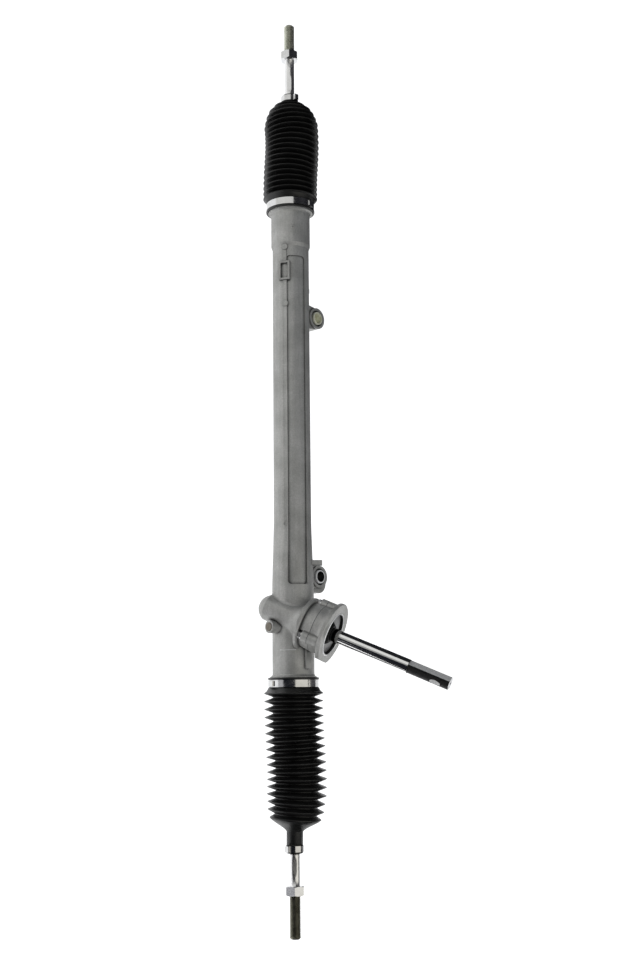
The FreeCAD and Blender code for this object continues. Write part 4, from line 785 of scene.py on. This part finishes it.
# CAD nodes, which keep their shape


def dress_nodes(materials):
    """Gives every CAD node its slot's material, and some of them a second one on worked faces, and
    on faces with painted highlights and painted shade.
    """
    for row in frame["record"]["subparts"]:
        node = frame["nodes"][row["node"]]
        node.data.materials.clear()
        node.data.materials.append(materials[row["material_slot"]])
    dress_shaft(frame["nodes"]["pinion_shaft"], materials)
    dress_seal_ring(frame["nodes"]["seal_ring"], materials)
    dress_dust_seal(frame["nodes"]["pinion_dust_seal"], materials)
    dress_sleeve(frame["nodes"]["ear_sleeve_near"], materials)


def along_and_off(place):
    """How far a place in metres lies along the pinion's axis, and its offset from that axis."""
    apart = place / MM - PINION_POINT
    along = apart.dot(PINION_AXIS)
    return along, apart - PINION_AXIS * along


def dress_seal_ring(node, materials):
    """Painted highlight on the seal ring's face, over painted shade on its wall."""
    node.data.materials[0] = materials["painted_highlight_steel"]
    node.data.materials.append(materials["painted_shade_bore"])
    for polygon in node.data.polygons:
        polygon.material_index = 0 if polygon.normal.dot(PINION_AXIS) > WALL_FACING else 1


def dress_dust_seal(node, materials):
    """Worn grey dish on the black dust seal."""
    node.data.materials.append(materials["seal_face"])
    for polygon in node.data.polygons:
        off = along_and_off(polygon.center)[1]
        if polygon.normal.dot(PINION_AXIS) > DISH_FACING and off.length > SEAL_DISH_R:
            polygon.material_index = 1


def dress_sleeve(node, materials):
    """Painted highlight on the ends and outside of an ear's steel sleeve, and painted shade in its
    bore.
    """
    node.data.materials[0] = materials["painted_highlight_steel"]
    node.data.materials.append(materials["painted_shade_bore"])
    for polygon in node.data.polygons:
        reach = math.hypot(polygon.center.x, polygon.center.y) / MM
        if abs(polygon.normal.z) < WALL_FACING and reach < SLEEVE_MIDDLE_R:
            polygon.material_index = 1


def dress_shaft(node, materials):
    """Milled flat and notch, faced end and serrated clamp length at the input shaft's end."""
    for name in ("shaft_flat", "shaft_end", "shaft_serrated"):
        node.data.materials.append(materials[name])
    milled_index, end_index, serrated_index = 1, 2, 3
    third = PINION_AXIS.cross(OFF_RACK)

    def towards(angle):
        turn = math.radians(angle)
        return OFF_RACK * math.cos(turn) + third * math.sin(turn)

    flat, notch = towards(SHAFT_FLAT_ANGLE), towards(NOTCH_ANGLE)
    for polygon in node.data.polygons:
        along, off = along_and_off(polygon.center)
        from_tip = SHAFT_END - along
        if from_tip > SHAFT_FLAT_LENGTH + SHOULDER_SLACK:
            continue
        in_notch = (abs(from_tip - NOTCH_FROM_TIP) < NOTCH_LENGTH / 2.0
                    and off.dot(notch) > NOTCH_LEAST_REACH
                    and off.length < SHAFT_CLAMP_R - PLACE_SLACK)
        if polygon.normal.dot(PINION_AXIS) > END_FACING and from_tip < PLACE_SLACK:
            polygon.material_index = end_index
        elif polygon.normal.dot(flat) > FLAT_FACING or in_notch:
            polygon.material_index = milled_index
        else:
            polygon.material_index = serrated_index


# Casting marks


def casting_surface():
    """Function that takes (x, angle, rise) to a point that height above the housing's surface."""
    mesh = frame["nodes"]["rack_housing"].data
    tree = BVHTree.FromPolygons([v.co for v in mesh.vertices], [p.vertices for p in mesh.polygons])

    def point(x, angle, rise):
        outward = radial(VIEW_ANGLE + angle)
        hit = tree.ray_cast((on_axis(x) + outward * MARK_REACH) * MM, -outward)[0]
        return hit / MM + outward * rise
    return point


def casting_bead(surface, materials):
    """Low bead across the housing below the pinion, where two inserts of the mould met, in a
    lighter alloy that paints a highlight along it.
    """
    rows = ((-0.5, MARK_FOOT), (-0.25, MARK_SHOULDER), (0.0, 1.0), (0.25, MARK_SHOULDER),
            (0.5, MARK_FOOT))
    verts, faces = [], []
    for i in range(BEAD_STEPS + 1):
        share = i / BEAD_STEPS
        height = MARK_HEIGHT * unit(min(share, 1.0 - share) / BEAD_FADE)
        angle = BEAD_FROM + (BEAD_TO - BEAD_FROM) * share
        verts += [surface(BEAD_X + across * BEAD_WIDTH, angle, height * rise)
                  for across, rise in rows]
    for i in range(BEAD_STEPS):
        for j in range(len(rows) - 1):
            k = i * len(rows) + j
            faces.append((k, k + 1, k + 1 + len(rows), k + len(rows)))
    make_piece("casting_bead", verts, faces, materials["painted_highlight_alloy"], "root")


def casting_ring(name, x, angle, outer, inner, surface, materials):
    """Low round mark of an ejector pin or insert, lying on the tube."""
    radius = (surface(x, angle, 0.0) - on_axis(x)).length
    rows = ((inner, MARK_FOOT), (inner, MARK_SHOULDER), ((outer + inner) / 2.0, 1.0),
            (outer - RING_CHAMFER, MARK_SHOULDER), (outer, MARK_FOOT))

    def place(reach, rise, turn):
        along, across = reach * math.cos(turn), reach * math.sin(turn)
        return surface(x + along, angle + math.degrees(across / radius), MARK_HEIGHT * rise)

    verts, faces = [], []
    for i in range(RING_STEPS):
        turn = 2.0 * math.pi * i / RING_STEPS
        verts += [place(reach, rise, turn) for reach, rise in rows]
        a, b = i * len(rows), ((i + 1) % RING_STEPS) * len(rows)
        faces += [(a + j, a + j + 1, b + j + 1, b + j) for j in range(len(rows) - 1)]
    make_piece(name, verts, faces, materials["cast_alloy"], "root")


def make_casting_marks(materials):
    surface = casting_surface()
    casting_bead(surface, materials)
    for i, (x, angle, outer, inner) in enumerate(RING_MARKS):
        casting_ring(f"casting_mark_{i + 1}", x, angle, outer, inner, surface, materials)


# Studio


def make_camera():
    """Camera at the photograph's viewing angle."""
    tip, roll = math.radians(CAMERA_TIP), math.radians(CAMERA_ROLL)
    toward, aside, along = radial(VIEW_ANGLE), radial(VIEW_ANGLE + 90.0), Vector((1.0, 0.0, 0.0))
    back = toward * math.cos(tip) - along * math.sin(tip)
    upright = along * math.cos(tip) + toward * math.sin(tip)
    up = upright * math.cos(roll) + aside * math.sin(roll)
    right = aside * math.cos(roll) - upright * math.sin(roll)
    place = (on_axis(CAMERA_FOOT_X) + toward * CAMERA_DISTANCE + aside * CAMERA_SIDE) * MM
    data = bpy.data.cameras.new("camera")
    data.sensor_width = SENSOR
    data.lens = FOCAL_PIXELS / LONG_SIDE_PIXELS * SENSOR
    data.clip_start, data.clip_end = CLIP_NEAR * MM, CLIP_FAR * MM
    camera = put_in_scene("camera", data)
    camera.matrix_world = Matrix((
        (right.x, up.x, back.x, place.x),
        (right.y, up.y, back.y, place.y),
        (right.z, up.z, back.z, place.z),
        (0.0, 0.0, 0.0, 1.0),
    ))
    bpy.context.scene.camera = camera


def make_lights():
    """Area lamps that look at the rack's axis."""
    for name, angle, distance, x, shift, size, watts, colour, reflected in LAMPS:
        target = on_axis(x) * MM
        place = target + radial(VIEW_ANGLE + angle) * distance * MM + Vector((shift * MM, 0.0, 0.0))
        data = bpy.data.lights.new(name, "AREA")
        data.shape = "RECTANGLE"
        data.size, data.size_y = size[0] * MM, size[1] * MM
        data.energy = watts
        data.color = colour
        lamp = put_in_scene(name, data)
        lamp.location = place
        lamp.rotation_mode = "QUATERNION"
        lamp.rotation_quaternion = (target - place).to_track_quat("-Z", "Y")
        lamp.visible_glossy = reflected


def white_to_camera(tree):
    """1 for rays that the camera, a reflection or a clear body sends, and 0 for the light cast."""
    light_path = tree.nodes.new("ShaderNodeLightPath")
    total = light_path.outputs["Is Camera Ray"]
    for name in ("Is Glossy Ray", "Is Transmission Ray"):
        total = calculate(tree, "MAXIMUM", total, light_path.outputs[name])
    return total


def make_world():
    """Soft grey surroundings that the camera sees as white."""
    world = bpy.data.worlds.new("studio")
    bpy.context.scene.world = world
    world.use_nodes = True
    tree = world.node_tree
    background = tree.nodes["Background"]
    mix = tree.nodes.new("ShaderNodeMix")
    mix.data_type = "RGBA"
    mix.inputs["A"].default_value = WORLD_COLOUR
    mix.inputs["B"].default_value = WHITE
    tree.links.new(white_to_camera(tree), mix.inputs["Factor"])
    tree.links.new(mix.outputs["Result"], background.inputs["Color"])
    background.inputs["Strength"].default_value = 1.0


def make_floor():
    """Plain pale floor well below the part, whose own light lifts it to white for the camera."""
    material, tree, shader = new_material("floor")
    shader.inputs["Base Color"].default_value = grey(FLOOR_TONE)
    shader.inputs["Roughness"].default_value = FLOOR_ROUGHNESS
    shader.inputs["Emission Color"].default_value = WHITE
    lift = calculate(tree, "MULTIPLY", white_to_camera(tree), FLOOR_LIFT)
    tree.links.new(lift, shader.inputs["Emission Strength"])
    corners = ((-1.0, -1.0), (1.0, -1.0), (1.0, 1.0), (-1.0, 1.0))
    verts = [(x * FLOOR_HALF, y * FLOOR_HALF, -FLOOR_DROP) for x, y in corners]
    floor = mesh_object("floor", verts, [(0, 1, 2, 3)], material)


def show_card(name, verts, faces, tone):
    """A card that only reflections see, so that it stays out of every view."""
    material, tree, _ = new_material(name)
    emission = tree.nodes.new("ShaderNodeEmission")
    emission.inputs["Color"].default_value = tuple(tone) + (1.0,)
    tree.links.new(emission.outputs["Emission"], tree.nodes["Material Output"].inputs["Surface"])
    piece = mesh_object(name, verts, faces, material)
    piece.visible_camera = False
    piece.visible_diffuse = False
    piece.visible_transmission = False
    piece.visible_volume_scatter = False
    piece.visible_shadow = False


def curved_card(name, low, high, start, end, tone):
    """Card bent round the rack, between two angles and two places along it."""
    steps = max(int((high - low) / CARD_STEP), 1)
    verts = []
    for i in range(steps + 1):
        across = radial(VIEW_ANGLE + low + (high - low) * i / steps) * CARD_R
        verts += [on_axis(start) + across, on_axis(end) + across]
    faces = [(2 * i, 2 * i + 1, 2 * i + 3, 2 * i + 2) for i in range(steps)]
    show_card(name, verts, faces, tone)


def end_card(name, x):
    """Dark round card that closes the studio beyond one end of the rack."""
    step = 360.0 / END_CARD_SIDES
    verts = [on_axis(x) + radial(step * i) * CARD_R for i in range(END_CARD_SIDES)]
    show_card(name, verts, [tuple(range(END_CARD_SIDES))], END_CARD_TONE)


def make_cards():
    for name, low, high, start, end, tone in CARDS:
        curved_card(name, low, high, start, end, tone)
    end_card("near_end_card", STUDIO_NEAR_X)
    end_card("far_end_card", STUDIO_FAR_X)


bpy.context.scene.view_settings.view_transform = "Standard"
make_camera()
make_world()
make_floor()
make_lights()
make_cards()
materials = make_materials()
dress_nodes(materials)
for side in (NEAR, FAR):
    boot_piece(side, materials)
for side in (NEAR, FAR):
    tie_rod_piece(side, materials)
make_casting_marks(materials)
